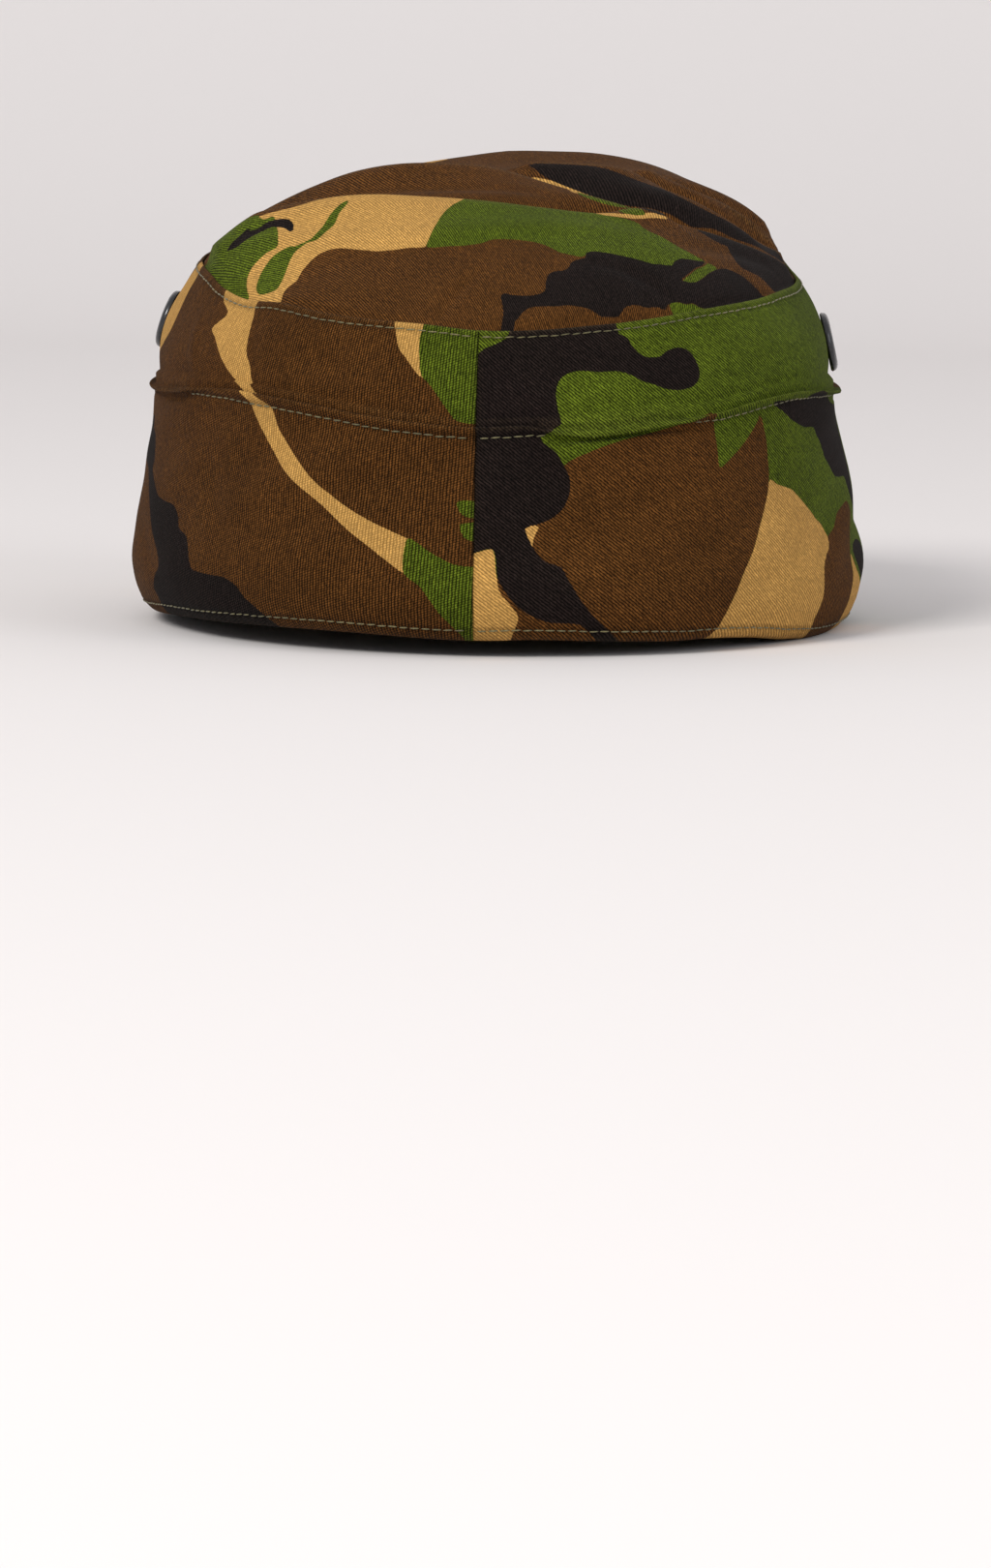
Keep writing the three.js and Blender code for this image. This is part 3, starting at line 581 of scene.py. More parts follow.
# %% Chart of the left half of the band
# Distance from centre back towards the wearer's left, and height above the floor, both in mm.
LEFT_CHART = {
    "tan": [
        [(92, 86), (90, 79), (86.7, 75.7), (80.4, 73), (84.2, 69.6), (80, 67.3), (74.4, 63.4), (68.9, 60),
         (63.3, 56.8), (60, 54.4), (57.8, 51.8), (55, 48.4), (52.2, 45.1), (47.8, 41.2), (42.2, 37.3),
         (35.6, 33.1), (28.9, 28.4), (22.2, 24), (14.6, 18.8), (12, 20), (12, 25), (13.9, 26.2), (22.2, 29.6),
         (28.9, 32.7), (35.6, 36.8), (41.1, 41.2), (45.6, 44.6), (49.4, 48.4), (50.6, 50.7), (52.2, 53.4),
         (56.1, 55.3), (59.8, 57.3), (62.2, 61.8), (65.3, 65.1), (67.2, 69.6), (68.3, 72.9), (69.8, 76),
         (70.5, 86)],
        [(23, 80), (22, 73.2), (20.9, 70.7), (19.4, 67.3), (17.2, 65.3), (15, 62.9), (12.4, 61), (12, 66),
         (12, 80)],
        [(119, 80), (116.5, 74), (118, 67.5), (124, 64), (133, 62), (141, 65), (144, 74), (138, 81), (128, 84)],
        [(190, 10), (205, 30), (226, 38), (244, 52), (262, 60), (282, 62), (282, 52), (264, 46), (248, 34),
         (232, 22), (214, 8)],
    ],
    "leaf": [
        [(14, 26.3), (8.9, 23.4), (3.9, 20.9), (0, 20.4), (-6, 20), (-6, 0), (0, 1), (1.7, 4.6), (3.9, 7.1),
         (6.7, 10.1), (10.6, 15.7), (14.6, 19)],
        [(3.4, 34.4), (1, 34.8), (-3, 34), (-3, 31), (1.2, 31.2), (2.8, 32.4)],
        [(2.4, 29.6), (-3, 30), (-3, 26), (1, 26.2), (2.2, 27.8)],
        [(14, 80), (13.9, 72.9), (14.4, 69.6), (13.9, 65.7), (13.1, 61.8), (10.6, 59.6), (8.3, 56.8),
         (6.7, 54.9), (4.4, 52.3), (2.2, 51.6), (0, 51.4), (-6, 51), (-6, 80)],
        [(160, 70), (175, 84), (200, 94), (225, 90), (236, 72), (222, 58), (200, 62), (182, 56), (166, 58)],
        [(262, 14), (280, 30), (300, 38), (300, 8), (284, 4)],
    ],
    "black": [
        [(126, 48), (119.4, 45.4), (112.4, 44), (111.1, 39.6), (112.2, 36.2), (107.8, 34), (104.4, 32.3),
         (101.1, 30.7), (95.6, 29.9), (90, 29.4), (86.7, 27.3), (85, 24.6), (80.6, 23.1), (78.3, 20.1),
         (77.2, 17.9), (75.6, 15.9), (68.9, 15.3), (63.3, 15.1), (58.9, 13.4), (56.7, 11.2), (53.3, 9),
         (50, 6.2), (48, 2), (60, -3), (90, -3), (103, 0), (101.4, 4.6), (99.4, 7.3), (100.6, 9.6),
         (98.3, 12.9), (95, 15.1), (95.6, 17.3), (98.9, 20.1), (103.3, 23.4), (106.7, 26.2), (110, 29.6),
         (113.3, 32.3), (116.7, 34), (120, 36), (128, 38), (134, 44)],
        [(238, 104), (262, 94), (284, 88), (300, 92), (300, 78), (276, 74), (256, 80), (242, 86), (228, 98)],
        [(176, 2), (186, 22), (198, 42), (206, 36), (194, 18), (188, 0)],
    ],
}

# %% Chart of the right half of the band
RIGHT_CHART = {
    "green": [[(10, 0), (10, 115), (-100, 120), (-200, 122), (-310, 122), (-310, -5), (-200, -5), (-100, -5)]],
    "brown": [
        [(-20.6, 42.4), (-25.6, 44.9), (-31.1, 46.8), (-36.7, 48.2), (-44.4, 49.6), (-51.1, 51), (-55.6, 52),
         (-60.9, 53.2), (-60.9, 49.6), (-61.3, 45.1), (-61.7, 41), (-64.4, 42.3), (-68.9, 45.1),
         (-73.3, 48.4), (-76.5, 51.2), (-77.4, 53.6), (-78.3, 49.6), (-79.1, 46.2), (-78.9, 42.9),
         (-78.7, 39.6), (-77.8, 35.1), (-75.6, 30.7), (-73.3, 27.3), (-70.6, 23.4), (-66.7, 17.9),
         (-63.3, 11.8), (-60.6, 6.2), (-58.6, -4), (-4, -4), (-5, 12), (-8, 30)],
        [(-99, -4), (-98.9, 4.9), (-100.6, 8.4), (-101, 10.7), (-100.2, 14.6), (-101.1, 17.3), (-104, 20),
         (-107.2, 23.1), (-110, 24), (-113.3, 25.1), (-117.8, 27.9), (-122.2, 29), (-129, 30), (-131.4, 27.4),
         (-127.8, 24), (-125.6, 20.7), (-124.4, 17.3), (-125.6, 12.9), (-123.3, 7.3), (-120, -4)],
        [(-150, 70), (-170, 80), (-196, 72), (-214, 54), (-206, 36), (-184, 28), (-164, 38), (-152, 52)],
        [(-236, 18), (-256, 14), (-280, 22), (-300, 20), (-300, 44), (-276, 50), (-254, 44), (-242, 34)],
    ],
    "tan": [
        [(4, 22.4), (0, 23.1), (-4.6, 24.2), (-5.3, 19.6), (-6.1, 15.1), (-8.3, 12.3), (-10.2, 9.6),
         (-9.8, 7.3), (-8.6, 3), (-8, -3), (4, -3)],
        [(-11, 28.6), (-14.8, 29.4), (-13.6, 27), (-13, 24)],
        [(-78.5, 37.8), (-82.2, 36.4), (-88.9, 34.8), (-94.4, 31.2), (-100, 27.9), (-104.4, 26.2),
         (-107.4, 23), (-106.1, 20.7), (-103.9, 19.6), (-101.1, 17.3), (-100.3, 14.6), (-101.1, 10.7),
         (-100.6, 8.4), (-98.9, 4.9), (-99, -4), (-58.6, -4), (-60.6, 6.2), (-63.3, 11.8), (-66.7, 17.9),
         (-70.6, 23.4), (-73.3, 27.3), (-75.6, 30.7), (-77.8, 35.1)],
        [(-125, 18.6), (-130, 14), (-136, 11), (-146, 8), (-142, -3), (-120, -3), (-123.3, 7.3),
         (-125.6, 12.9)],
        [(-240, 88), (-262, 84), (-284, 76), (-300, 78), (-300, 66), (-280, 62), (-258, 70), (-236, 78),
         (-226, 90), (-234, 98)],
    ],
    "black": [
        [(4, 65.6), (0, 66.2), (-2.2, 67.7), (-5, 68.7), (-8, 70.4), (-10, 76), (-24, 80), (-36, 80),
         (-37.2, 74), (-37.2, 70.9), (-39.4, 70), (-40.2, 68.4), (-41.7, 66.8), (-43.9, 65.7), (-47.8, 65.7),
         (-50, 66.8), (-53.3, 67.6), (-56.1, 67.3), (-58, 65.7), (-58.7, 63.4), (-58.3, 61.2), (-56.1, 59.3),
         (-52.2, 58.4), (-47.8, 58.7), (-44.4, 59.8), (-41.7, 60.4), (-38.9, 61.8), (-35.6, 62.7),
         (-30, 62.6), (-25.6, 62.9), (-22.2, 62.3), (-20, 60.7), (-19.1, 57.9), (-19.4, 54.6), (-20, 51.6),
         (-15.2, 48.6), (-16.7, 46.8), (-18.9, 45.1), (-20.6, 42.3), (-21.9, 39.6), (-21.7, 36.2),
         (-20, 32.9), (-17.2, 30.7), (-13.9, 29.5), (-11.6, 29), (-13.1, 25.1), (-15.6, 21.8), (-19.4, 20.4),
         (-20.6, 18), (-21.7, 16.2), (-23.9, 12.9), (-26.7, 9.6), (-30.6, 6.2), (-37, 1), (-32, 1),
         (-24.4, 7.3), (-20, 7.9), (-16.7, 8.2), (-12.8, 9.8), (-9.4, 12.3), (-6.9, 15.7), (-5.6, 18.4),
         (-5.3, 21.8), (-4.8, 24), (-3.3, 24.2), (0, 23.1), (4, 22.4)],
        [(-82.4, 54.8), (-88.9, 55), (-94.4, 55.2), (-100, 54.8), (-105, 56), (-111.1, 56.2), (-117.8, 55.2),
         (-124, 54), (-132, 52), (-142, 51), (-146, 40), (-140, 26.8), (-136.7, 28.4), (-134.4, 31.8),
         (-132.2, 35.3), (-125.6, 35.7), (-120, 36.2), (-115.6, 39), (-112.2, 41.2), (-110, 44),
         (-107.8, 46.2), (-105.6, 48.1), (-100, 48.4), (-95.6, 49.3), (-91.1, 50.7), (-87.8, 52.3)],
        [(-129, 19.4), (-132, 15), (-138, 11), (-148, 12), (-146, 19), (-137, 20.6)],
        [(-158, 36), (-170, 28), (-182, 16), (-196, 8), (-214, 12), (-230, 30), (-242, 52), (-232, 54),
         (-220, 38), (-206, 24), (-190, 26), (-174, 38), (-162, 46)],
        [(-196, 96), (-212, 104), (-232, 106), (-226, 98), (-210, 92)],
    ],
    "leaf": [[(-104, 55.8), (-108, 54.6), (-112, 52.6), (-117.5, 49.4), (-116.4, 51), (-111, 54.4),
              (-107, 56.4)]],
}
print("charted shapes on the band:", sum(len(s) for c in (LEFT_CHART, RIGHT_CHART) for s in c.values()))

# %% [markdown]
# ## Sewn shells
# Each panel is a thin closed shell: a face, a back, and rounded folds at its edges. A flat grid is bent into that
# shape. Its rows run up the face and down the back, the two outer folds meet and are welded, and the thickness
# fades to nothing at every edge along a quarter circle, which is how a turned edge of cloth looks.


# %% Shells from a grid
def weld_distance():
    return 0.00001


def edge_fade(distance, thickness):
    """How much of its thickness a shell has at a distance from its turned edge."""
    share = np.clip(distance / (thickness / 2), 0, 1)
    return np.sqrt(np.maximum(1 - (1 - share) ** 2, 0))


def shell(name, face, back, cloth, values):
    """A closed shell of a face and a back, arrays of rows by columns by three in mm, that meet at every edge.
    cloth is the place on the flat cloth for each point, and values holds more attributes of the same layout."""
    rows, columns = face.shape[:2]
    loop = np.concatenate([face, back[::-1][1:]])
    bm = bmesh.new()
    bmesh.ops.create_grid(bm, x_segments=columns - 1, y_segments=2 * rows - 2, size=0.5)
    bm.verts.ensure_lookup_table()
    layers = {}
    for key, array in {"cloth": cloth, **values}.items():
        full = np.concatenate([array[0], array[1][::-1][1:]]).reshape(len(bm.verts), -1)
        kind = bm.verts.layers.float_vector if full.shape[1] == 3 else bm.verts.layers.float
        layers[key] = (kind.new(key), full)
    for vert, point in zip(bm.verts, loop.reshape(-1, 3) * MM):
        vert.co = point
    for layer, full in layers.values():
        if full.shape[1] == 3:
            for vert, value in zip(bm.verts, full):
                vert[layer] = value
        else:
            for vert, value in zip(bm.verts, full[:, 0]):
                vert[layer] = value
    bmesh.ops.remove_doubles(bm, verts=bm.verts[:], dist=weld_distance())
    bmesh.ops.dissolve_degenerate(bm, edges=bm.edges[:], dist=weld_distance())
    bmesh.ops.recalc_face_normals(bm, faces=bm.faces[:])
    open_edges = sum(1 for edge in bm.edges if not edge.is_manifold)
    if bm.calc_volume(signed=True) < 0:
        bmesh.ops.reverse_faces(bm, faces=bm.faces[:])
    mesh = bpy.data.meshes.new(name)
    bm.to_mesh(mesh)
    bm.free()
    for polygon in mesh.polygons:
        polygon.use_smooth = True
    piece = bpy.data.objects.new(name, mesh)
    bpy.context.scene.collection.objects.link(piece)
    print(name, "has", len(mesh.polygons), "faces and", open_edges, "open edges")
    return piece


def finish_piece(piece, material, slot, *nodes):
    """Gives a piece its cloth and its body, and hides the solids that it stands for."""
    piece.data.materials.append(material)
    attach(piece, "root")
    if nodes:
        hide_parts(*nodes)
    return piece


def on_both(array):
    """The same values on the face and on the back."""
    return np.stack([array, array])


# %% [markdown]
# ## The tuck
# Halfway up the band a fold of cloth is pinched and topstitched, like a dart that runs all the way round. It hides
# where the flap folds down. On the real cap it stands up on the wearer's left, rolls down for a hand's width on the
# right, and sticks straight out at the sides. Its section is drawn once for each of these, in shares of its size,
# and the lean along the cap blends them.

# %% The tuck's section
LIP = 1.9
# out and lift of each point, from under the tuck to above it
LIP_UP = [(0, -0.55), (0.02, -0.2), (0.2, 0.12), (0.42, 0.45), (0.54, 0.8), (0.44, 1.0), (0.22, 1.02), (0.05, 0.75),
          (-0.05, 0.38), (-0.14, 0.26), (-0.24, 0.6), (-0.26, 1.1), (-0.2, 1.9)]
LIP_OUT = [(0, -1.2), (0, -0.7), (0.02, -0.42), (0.2, -0.32), (0.6, -0.3), (0.92, -0.22), (1.02, 0), (0.92, 0.22),
           (0.6, 0.3), (0.2, 0.32), (0.02, 0.42), (0, 0.7), (0, 1.2)]
LIP_DOWN = [(out, -lift) for out, lift in LIP_UP[::-1]]
# angle and lean: 1 stands up, 0 sticks out, -1 hangs down
LIP_LEAN = [(-180, 0.6), (-140, 0.4), (-100, 0.1), (-88, 0.05), (-78, 0.3), (-60, 0.65), (-44, 0.7), (-39, 0.45),
            (-34, -0.3), (-28, -0.95), (-18, -0.95), (-13, -0.2), (-9, 0.8), (0, 1), (44, 1), (53, 0.45),
            (60, -0.15), (70, 0), (80, 0.5), (88, 0.7), (100, 0.3), (140, 0.3), (180, 0.6)]
STITCH_BELOW_TUCK = 0.55


def lip_lean(angle):
    return np.clip(through(LIP_LEAN, degrees_round(angle)), -1, 1)


def lip_point(angle, row):
    """out and lift in mm of one point of the tuck's section."""
    lean = lip_lean(angle)
    up, down = np.maximum(lean, 0), np.maximum(-lean, 0)
    level = 1 - up - down
    return [LIP * (up * LIP_UP[row][i] + down * LIP_DOWN[row][i] + level * LIP_OUT[row][i]) for i in (0, 1)]


def tuck_stitch_lift(angle):
    """The topstitch runs under the fold where it stands up, and over it where it hangs down."""
    return -STITCH_BELOW_TUCK * np.clip(lip_lean(angle) * 4, -1, 1)


# %% [markdown]
# ## The two side panels
# Each side of the cap is one panel from centre back to centre front, with the hem turned up, the tuck, and a folded
# top edge that laps over the crown. The left panel laps over the right one at centre back. The grid has a column
# about every millimetre, and its rows crowd at the tuck and the folded edges.

# %% Build a side panel
COLUMNS = 264
END_STEPS = (0, 0.12, 0.35, 0.7)
LOWER_COUNT = 38
UPPER_COUNT = 26
FOLD_STEPS = (0, 0.1, 0.35, 0.75)
LAP = {"left": -0.45, "right": 0.15}
LAP_OUT = {"left": 0.35, "right": -0.55}
LAP_REACH = {"left": 3.0, "right": 1.4}
ALLOWANCE_RIDGE = {"rise": 0.22, "at": 5.5, "half": 3.2}
HEM_STITCH = 2.5
SEAM_STITCH = 1.4
# How thick the folded top edge is, and how far below the seam the cloth reaches its full thickness, in mm.
TOP_FOLD = 0.8
TOP_FOLD_REACH = 4.5


def side_panel(side):
    sign = 1 if side == "left" else -1
    ends = np.array(END_STEPS)
    body = np.linspace(ends[-1], HALF_ROUND - LAP[side] - SEAM_GAP - ends[-1], COLUMNS)[1:-1]
    length = HALF_ROUND - LAP[side] - SEAM_GAP / 2
    reach = np.concatenate([ends, body, length - ends[::-1]])
    along = sign * (reach + LAP[side])
    angle = angle_at(np.where(np.abs(along) < 1e-6, 1e-6, along))
    crossed = sign * along < 0
    angle = np.where(crossed, along / CHART_OVAL[0], angle)

    hem, tuck, seam = hem_height(angle), tuck_height(angle), seam_height(angle)
    seam_ease = LAP_OUT[side] * np.exp(-((np.abs(along) / LAP_REACH[side]) ** 2))
    ridge = ALLOWANCE_RIDGE["rise"] * np.exp(-(((np.abs(along) - ALLOWANCE_RIDGE["at"]) / ALLOWANCE_RIDGE["half"]) ** 2))
    face_rows, levels = [], []
    lower_top = 1 - LIP * 1.35 / (tuck - hem)
    upper_foot = 1 + LIP * 2.0 / (seam - tuck)
    fold = np.array(FOLD_STEPS)
    for step in fold:
        levels.append(step / (tuck - hem))
    for share in np.linspace(0, 1, LOWER_COUNT)[1:]:
        start = fold[-1] / (tuck - hem)
        levels.append(start + (lower_top - start) * share)
    face_rows = [wall(angle, level, seam_ease + ridge) for level in levels]
    for row in range(len(LIP_UP)):
        out, lift = lip_point(angle, row)
        face_rows.append(wall(angle, np.full(len(angle), 1.0), seam_ease + ridge + out, lift))
        levels.append(1 + lift / (tuck - hem))
    top_fold = 2 - fold[::-1] / (seam - tuck)[:, None]
    for share in np.linspace(0, 1, UPPER_COUNT):
        levels.append(upper_foot + (top_fold[:, 0] - upper_foot) * share)
        face_rows.append(wall(angle, levels[-1], seam_ease + ridge))
    for step in range(1, len(fold)):
        levels.append(top_fold[:, step])
        face_rows.append(wall(angle, levels[-1], seam_ease + ridge))
    face = np.stack(face_rows)
    levels = np.stack([np.broadcast_to(level, angle.shape) for level in levels])
    smooth_levels = levels.copy()
    climb = np.linspace(0, 1, len(LIP_UP) + 2)[:, None]
    foot_row = LOWER_COUNT + len(fold) - 2
    smooth_levels[foot_row:foot_row + len(climb)] = lower_top + (upper_foot - lower_top) * climb
    smooth_levels = np.clip(smooth_levels, 0, 2)
    below_top = (2 - smooth_levels) * (seam - tuck)
    thick = TOP_FOLD + (CLOTH - TOP_FOLD) * smoothstep(below_top, 0.6, TOP_FOLD_REACH)
    back = wall(angle[None], smooth_levels, seam_ease - thick)

    from_end = np.minimum(reach, length - reach)[None]
    height = face[..., 2]
    from_hem, from_top = height - hem, seam - height
    fade = edge_fade(from_end, CLOTH) * edge_fade(np.minimum(from_hem, from_top), CLOTH)
    middle = (face + back) / 2
    face = middle + (face - middle) * fade[..., None]
    back = middle + (back - middle) * fade[..., None]

    flat = np.stack([np.broadcast_to(along, height.shape), height, np.zeros(height.shape)], -1)
    lines = np.stack([height - hem - HEM_STITCH, height - tuck - tuck_stitch_lift(angle), seam - height - SEAM_STITCH], -1)
    edge_rub = 0.28 * np.exp(-from_top / 0.5) + 0.3 * np.exp(-from_hem / 0.6) + 0.2 * np.exp(-from_end / 0.4)
    out_by = np.linalg.norm(face[..., :2] - [0, centre_y], axis=-1) - np.linalg.norm(
        wall(angle[None], smooth_levels, seam_ease)[..., :2] - [0, centre_y], axis=-1)
    edge_rub = edge_rub + 0.16 * smoothstep(out_by, 0.8, 1.6)
    chart = LEFT_CHART if side == "left" else RIGHT_CHART
    inks = ink_from(chart, flat[..., :2].reshape(-1, 2))
    values = {ink: on_both(array.reshape(height.shape)) for ink, array in inks.items()}
    values["lines"] = np.stack([lines, lines + 30])
    values["worn"] = np.stack([edge_rub, edge_rub * 0])
    values["inside"] = np.stack([np.zeros(height.shape), fade])
    return shell(f"side_{side}_cloth", face, back, on_both(flat), values)


side_left = finish_piece(side_panel("left"), twills["left"], "left_twill", "side_left")
side_right = finish_piece(side_panel("right"), twills["right"], "right_twill", "side_right")

# %% [markdown]
# ## The crown
# The crown is one oval of cloth. Worn and folded flat in a pocket, it has set into soft crests that run across the
# cap, each steep towards the front and easy towards the back. The dome comes from the solid's own law, and every
# crest is a smooth line in plan with a height along it and a width for either flank.

# %% Sizes of the crown
CROWN_DROP_POWER = 3.9
CROWN_SQUARENESS = 3
CROWN_LEAN = 0.14
CROWN_RIM = 0.97
SEAM_ALLOWANCE = 4
# Each crest is a line of x towards the wearer's left, y towards the back from the middle of the cap, and height
# above the floor, with the width of its flanks behind and before it, and how far on and how deep a valley follows.
CRESTS = {
    "rear": {"line": [(72, 4, 81), (66, 11, 86.6), (58, 19, 93.2), (53, 23, 95.4), (42, 30, 98), (29, 35, 99.5),
                      (15, 38, 99.3), (2, 39, 98.6), (-10, 38, 97.4), (-23, 35, 96), (-35, 30, 94.6),
                      (-46, 24, 92.7), (-55, 17, 90), (-62, 10, 87.5), (-67, 3, 84.2)],
             "behind": 20, "before": 6, "valley": (6, 2.2)},
    "middle": {"line": [(62, -12, 91.2), (54, -9, 95.7), (45, -6, 100), (34, -1, 104), (22, 2, 106), (8, 4, 106),
                        (0, 6, 105), (-10, 11, 102.6), (-18, 16, 100.6), (-26, 21, 98.5), (-33, 25, 96.3)],
               "behind": 9, "before": 6, "valley": (6, 1.2)},
    "right": {"line": [(-8, -6, 106.5), (-18, -6, 106.3), (-27, -4, 105.6), (-33, -3, 103.3), (-40, -3, 99.6),
                       (-47, -4, 96), (-54, -7, 92), (-60, -10, 88.3), (-65, -14, 85.4)],
              "behind": 7, "before": 5, "valley": (5, 1.4)},
    "far_right": {"line": [(-34, -17, 104.7), (-42, -19, 100.9), (-50, -20, 97), (-57, -20, 92.1), (-63, -19, 87.3)],
                  "behind": 4, "before": 4, "valley": (4, 0.8)},
    "front": {"line": [(20, -30, 105.6), (10, -34, 107.1), (0, -38, 108.4), (-10, -42, 108.4), (-20, -44, 108),
                       (-30, -44, 106.3), (-38, -42, 103.5), (-46, -40, 100.7), (-54, -36, 97.1), (-60, -31, 93.2),
                       (-64, -26, 88.2), (-66, -21, 84.5)],
              "behind": 13, "before": 16, "valley": None},
}
# Finer creases: x, y, and how far the cloth rises, with the width of its flanks behind and before the line.
WRINKLES = {
    "brow": {"line": [(44, 50, 0.2), (26, 56, 0.8), (4, 56, 0.9), (-16, 50, 0.6), (-34, 46, 0.2)], "behind": 4,
             "before": 6},
    "leaf": {"line": [(64, 22, -0.3), (52, 34, -0.8), (38, 44, -0.5), (28, 48, 0)], "behind": 2.4, "before": 2.4},
    "seam_left": {"line": [(9, 88, -0.6), (6, 80, -0.9), (1, 72, -0.2)], "behind": 1.6, "before": 1.6},
    "seam_right": {"line": [(-44, 70, -0.4), (-34, 66, -0.7), (-22, 66, -0.2)], "behind": 2.2, "before": 2.2},
    "right": {"line": [(-64, 14, -0.2), (-56, 26, -0.8), (-46, 40, -0.6), (-38, 48, 0)], "behind": 2.6,
              "before": 2.6},
    "middle": {"line": [(36, 12, -0.2), (14, 18, -0.7), (-8, 22, -0.5), (-24, 28, -0.1)], "behind": 3, "before": 3},
}


def open_curve(points, steps=10):
    """A smooth curve through the points, with the same smoothness in each column."""
    rows = np.array(points, float)
    index = np.arange(len(rows))
    fine = np.linspace(0, len(rows) - 1, steps * (len(rows) - 1) + 1)
    return np.stack([through(np.stack([index, column], 1), fine) for column in rows.T], 1)


def beside(line, x, y):
    """The distance of each place from a line, positive behind it, and the line's own value there."""
    best, value, side = np.full(np.shape(x), np.inf), np.zeros(np.shape(x)), np.ones(np.shape(x))
    for (ax, ay, av), (bx, by, bv) in zip(line[:-1], line[1:]):
        share = np.clip(((x - ax) * (bx - ax) + (y - ay) * (by - ay)) / ((bx - ax) ** 2 + (by - ay) ** 2), 0, 1)
        off_x, off_y = x - ax - share * (bx - ax), y - ay - share * (by - ay)
        off = np.hypot(off_x, off_y)
        near = off < best
        best = np.where(near, off, best)
        value = np.where(near, av + share * (bv - av), value)
        side = np.where(near, np.where(off_y * (ax - bx) - off_x * (ay - by) > 0, 1, -1), side)
    return best * side, value


def flanks(off, behind, before):
    return np.exp(-((np.abs(off) / np.where(off > 0, behind, before)) ** 2))


# %% The crown's surface
PUCKER_SEED = 5
pucker_dice = np.random.default_rng(PUCKER_SEED)
PUCKERS = pucker_dice.uniform([-180, 1.4, -0.34], [180, 3.4, 0.22], (34, 3))


def seam_puckers(angle, ring):
    """Small gathers that run in from the seam."""
    depth = np.zeros(angle.shape)
    for turn, half, rise in PUCKERS:
        across = ((degrees_round(angle) - turn + 180) % 360 - 180) / half
        depth += rise * np.exp(-(across**2))
    return depth * smoothstep(ring, 0.72, 0.93) * (1 - smoothstep(ring, 0.985, 1))


def crown_edge(angle, below):
    """The crown's edge lies inside the top of the side panels."""
    tuck, seam = tuck_height(angle), seam_height(angle)
    level = 1 + (seam - below - tuck) / (seam - tuck)
    inwards = TOP_FOLD + (CLOTH + SEAM_GAP - TOP_FOLD) * smoothstep(below, BAND_EDGE, BAND_EDGE + 1.5)
    return wall(angle, level, -inwards - 0.15, worn=False)


crown_back = float(crown_edge(np.array(0.0), BAND_EDGE)[1] - centre_y)
crown_front = float(centre_y - crown_edge(np.array(math.pi), BAND_EDGE)[1])
crown_half = float(crown_edge(np.array(math.pi / 2), BAND_EDGE)[0])


def crown_dome(x, y):
    """The height of the smooth dome over a place in plan."""
    y_share = np.clip(y / np.where(y > 0, crown_back, crown_front), -1, 1)
    row_half = crown_half * np.sqrt(np.maximum(1 - y_share**2, 1e-6))
    seam = seam_height(np.sign(x) * np.arccos(y_share)) - BAND_EDGE
    off = np.clip(x / row_half, -1, 1)
    arch = 1 - np.abs(off + CROWN_LEAN * (1 - off**2)) ** CROWN_SQUARENESS
    rise = SEAM_HEIGHT[2] - SEAM_HEIGHT[0]
    crest = SEAM_HEIGHT[2] - BAND_EDGE - rise * ((1 + y_share) / 2) ** CROWN_DROP_POWER
    return seam + (crest - seam) * arch


def creased(x, y, pulls):
    """The dome with some of its crests and valleys, each pulled to its own height."""
    height = crown_dome(x, y)
    for line, behind, before in pulls:
        off, lift = beside(line, x, y)
        height = height + lift * flanks(off, behind, before)
    return height


def pull_to(line, behind, before, pulls):
    """Adds one line of heights to the pulls, as the rise that it needs above the cloth so far."""
    rise = line[:, 2] - creased(line[:, 0], line[:, 1], pulls)
    pulls.append((np.stack([line[:, 0], line[:, 1], rise], 1), behind, before))


crown_pulls = []
for crest in CRESTS.values():
    line = open_curve(crest["line"])
    pull_to(line, crest["behind"], crest["before"], crown_pulls)
    if crest["valley"]:
        away, drop = crest["valley"]
        pull_to(line - [0, away, drop], away * 0.55, crest["before"], crown_pulls)
for wrinkle in WRINKLES.values():
    crown_pulls.append((open_curve(wrinkle["line"]), wrinkle["behind"], wrinkle["before"]))
print("lines that shape the crown:", len(crown_pulls))


def crown_point(angle, ring):
    edge = crown_edge(angle, BAND_EDGE)
    x, y = edge[..., 0] * ring, (edge[..., 1] - centre_y) * ring
    dome = creased(x, y, crown_pulls)
    height = dome + (edge[..., 2] - dome) * smoothstep(ring, CROWN_RIM, 1) + seam_puckers(angle, ring)
    return np.stack([x, y + centre_y, height], -1)


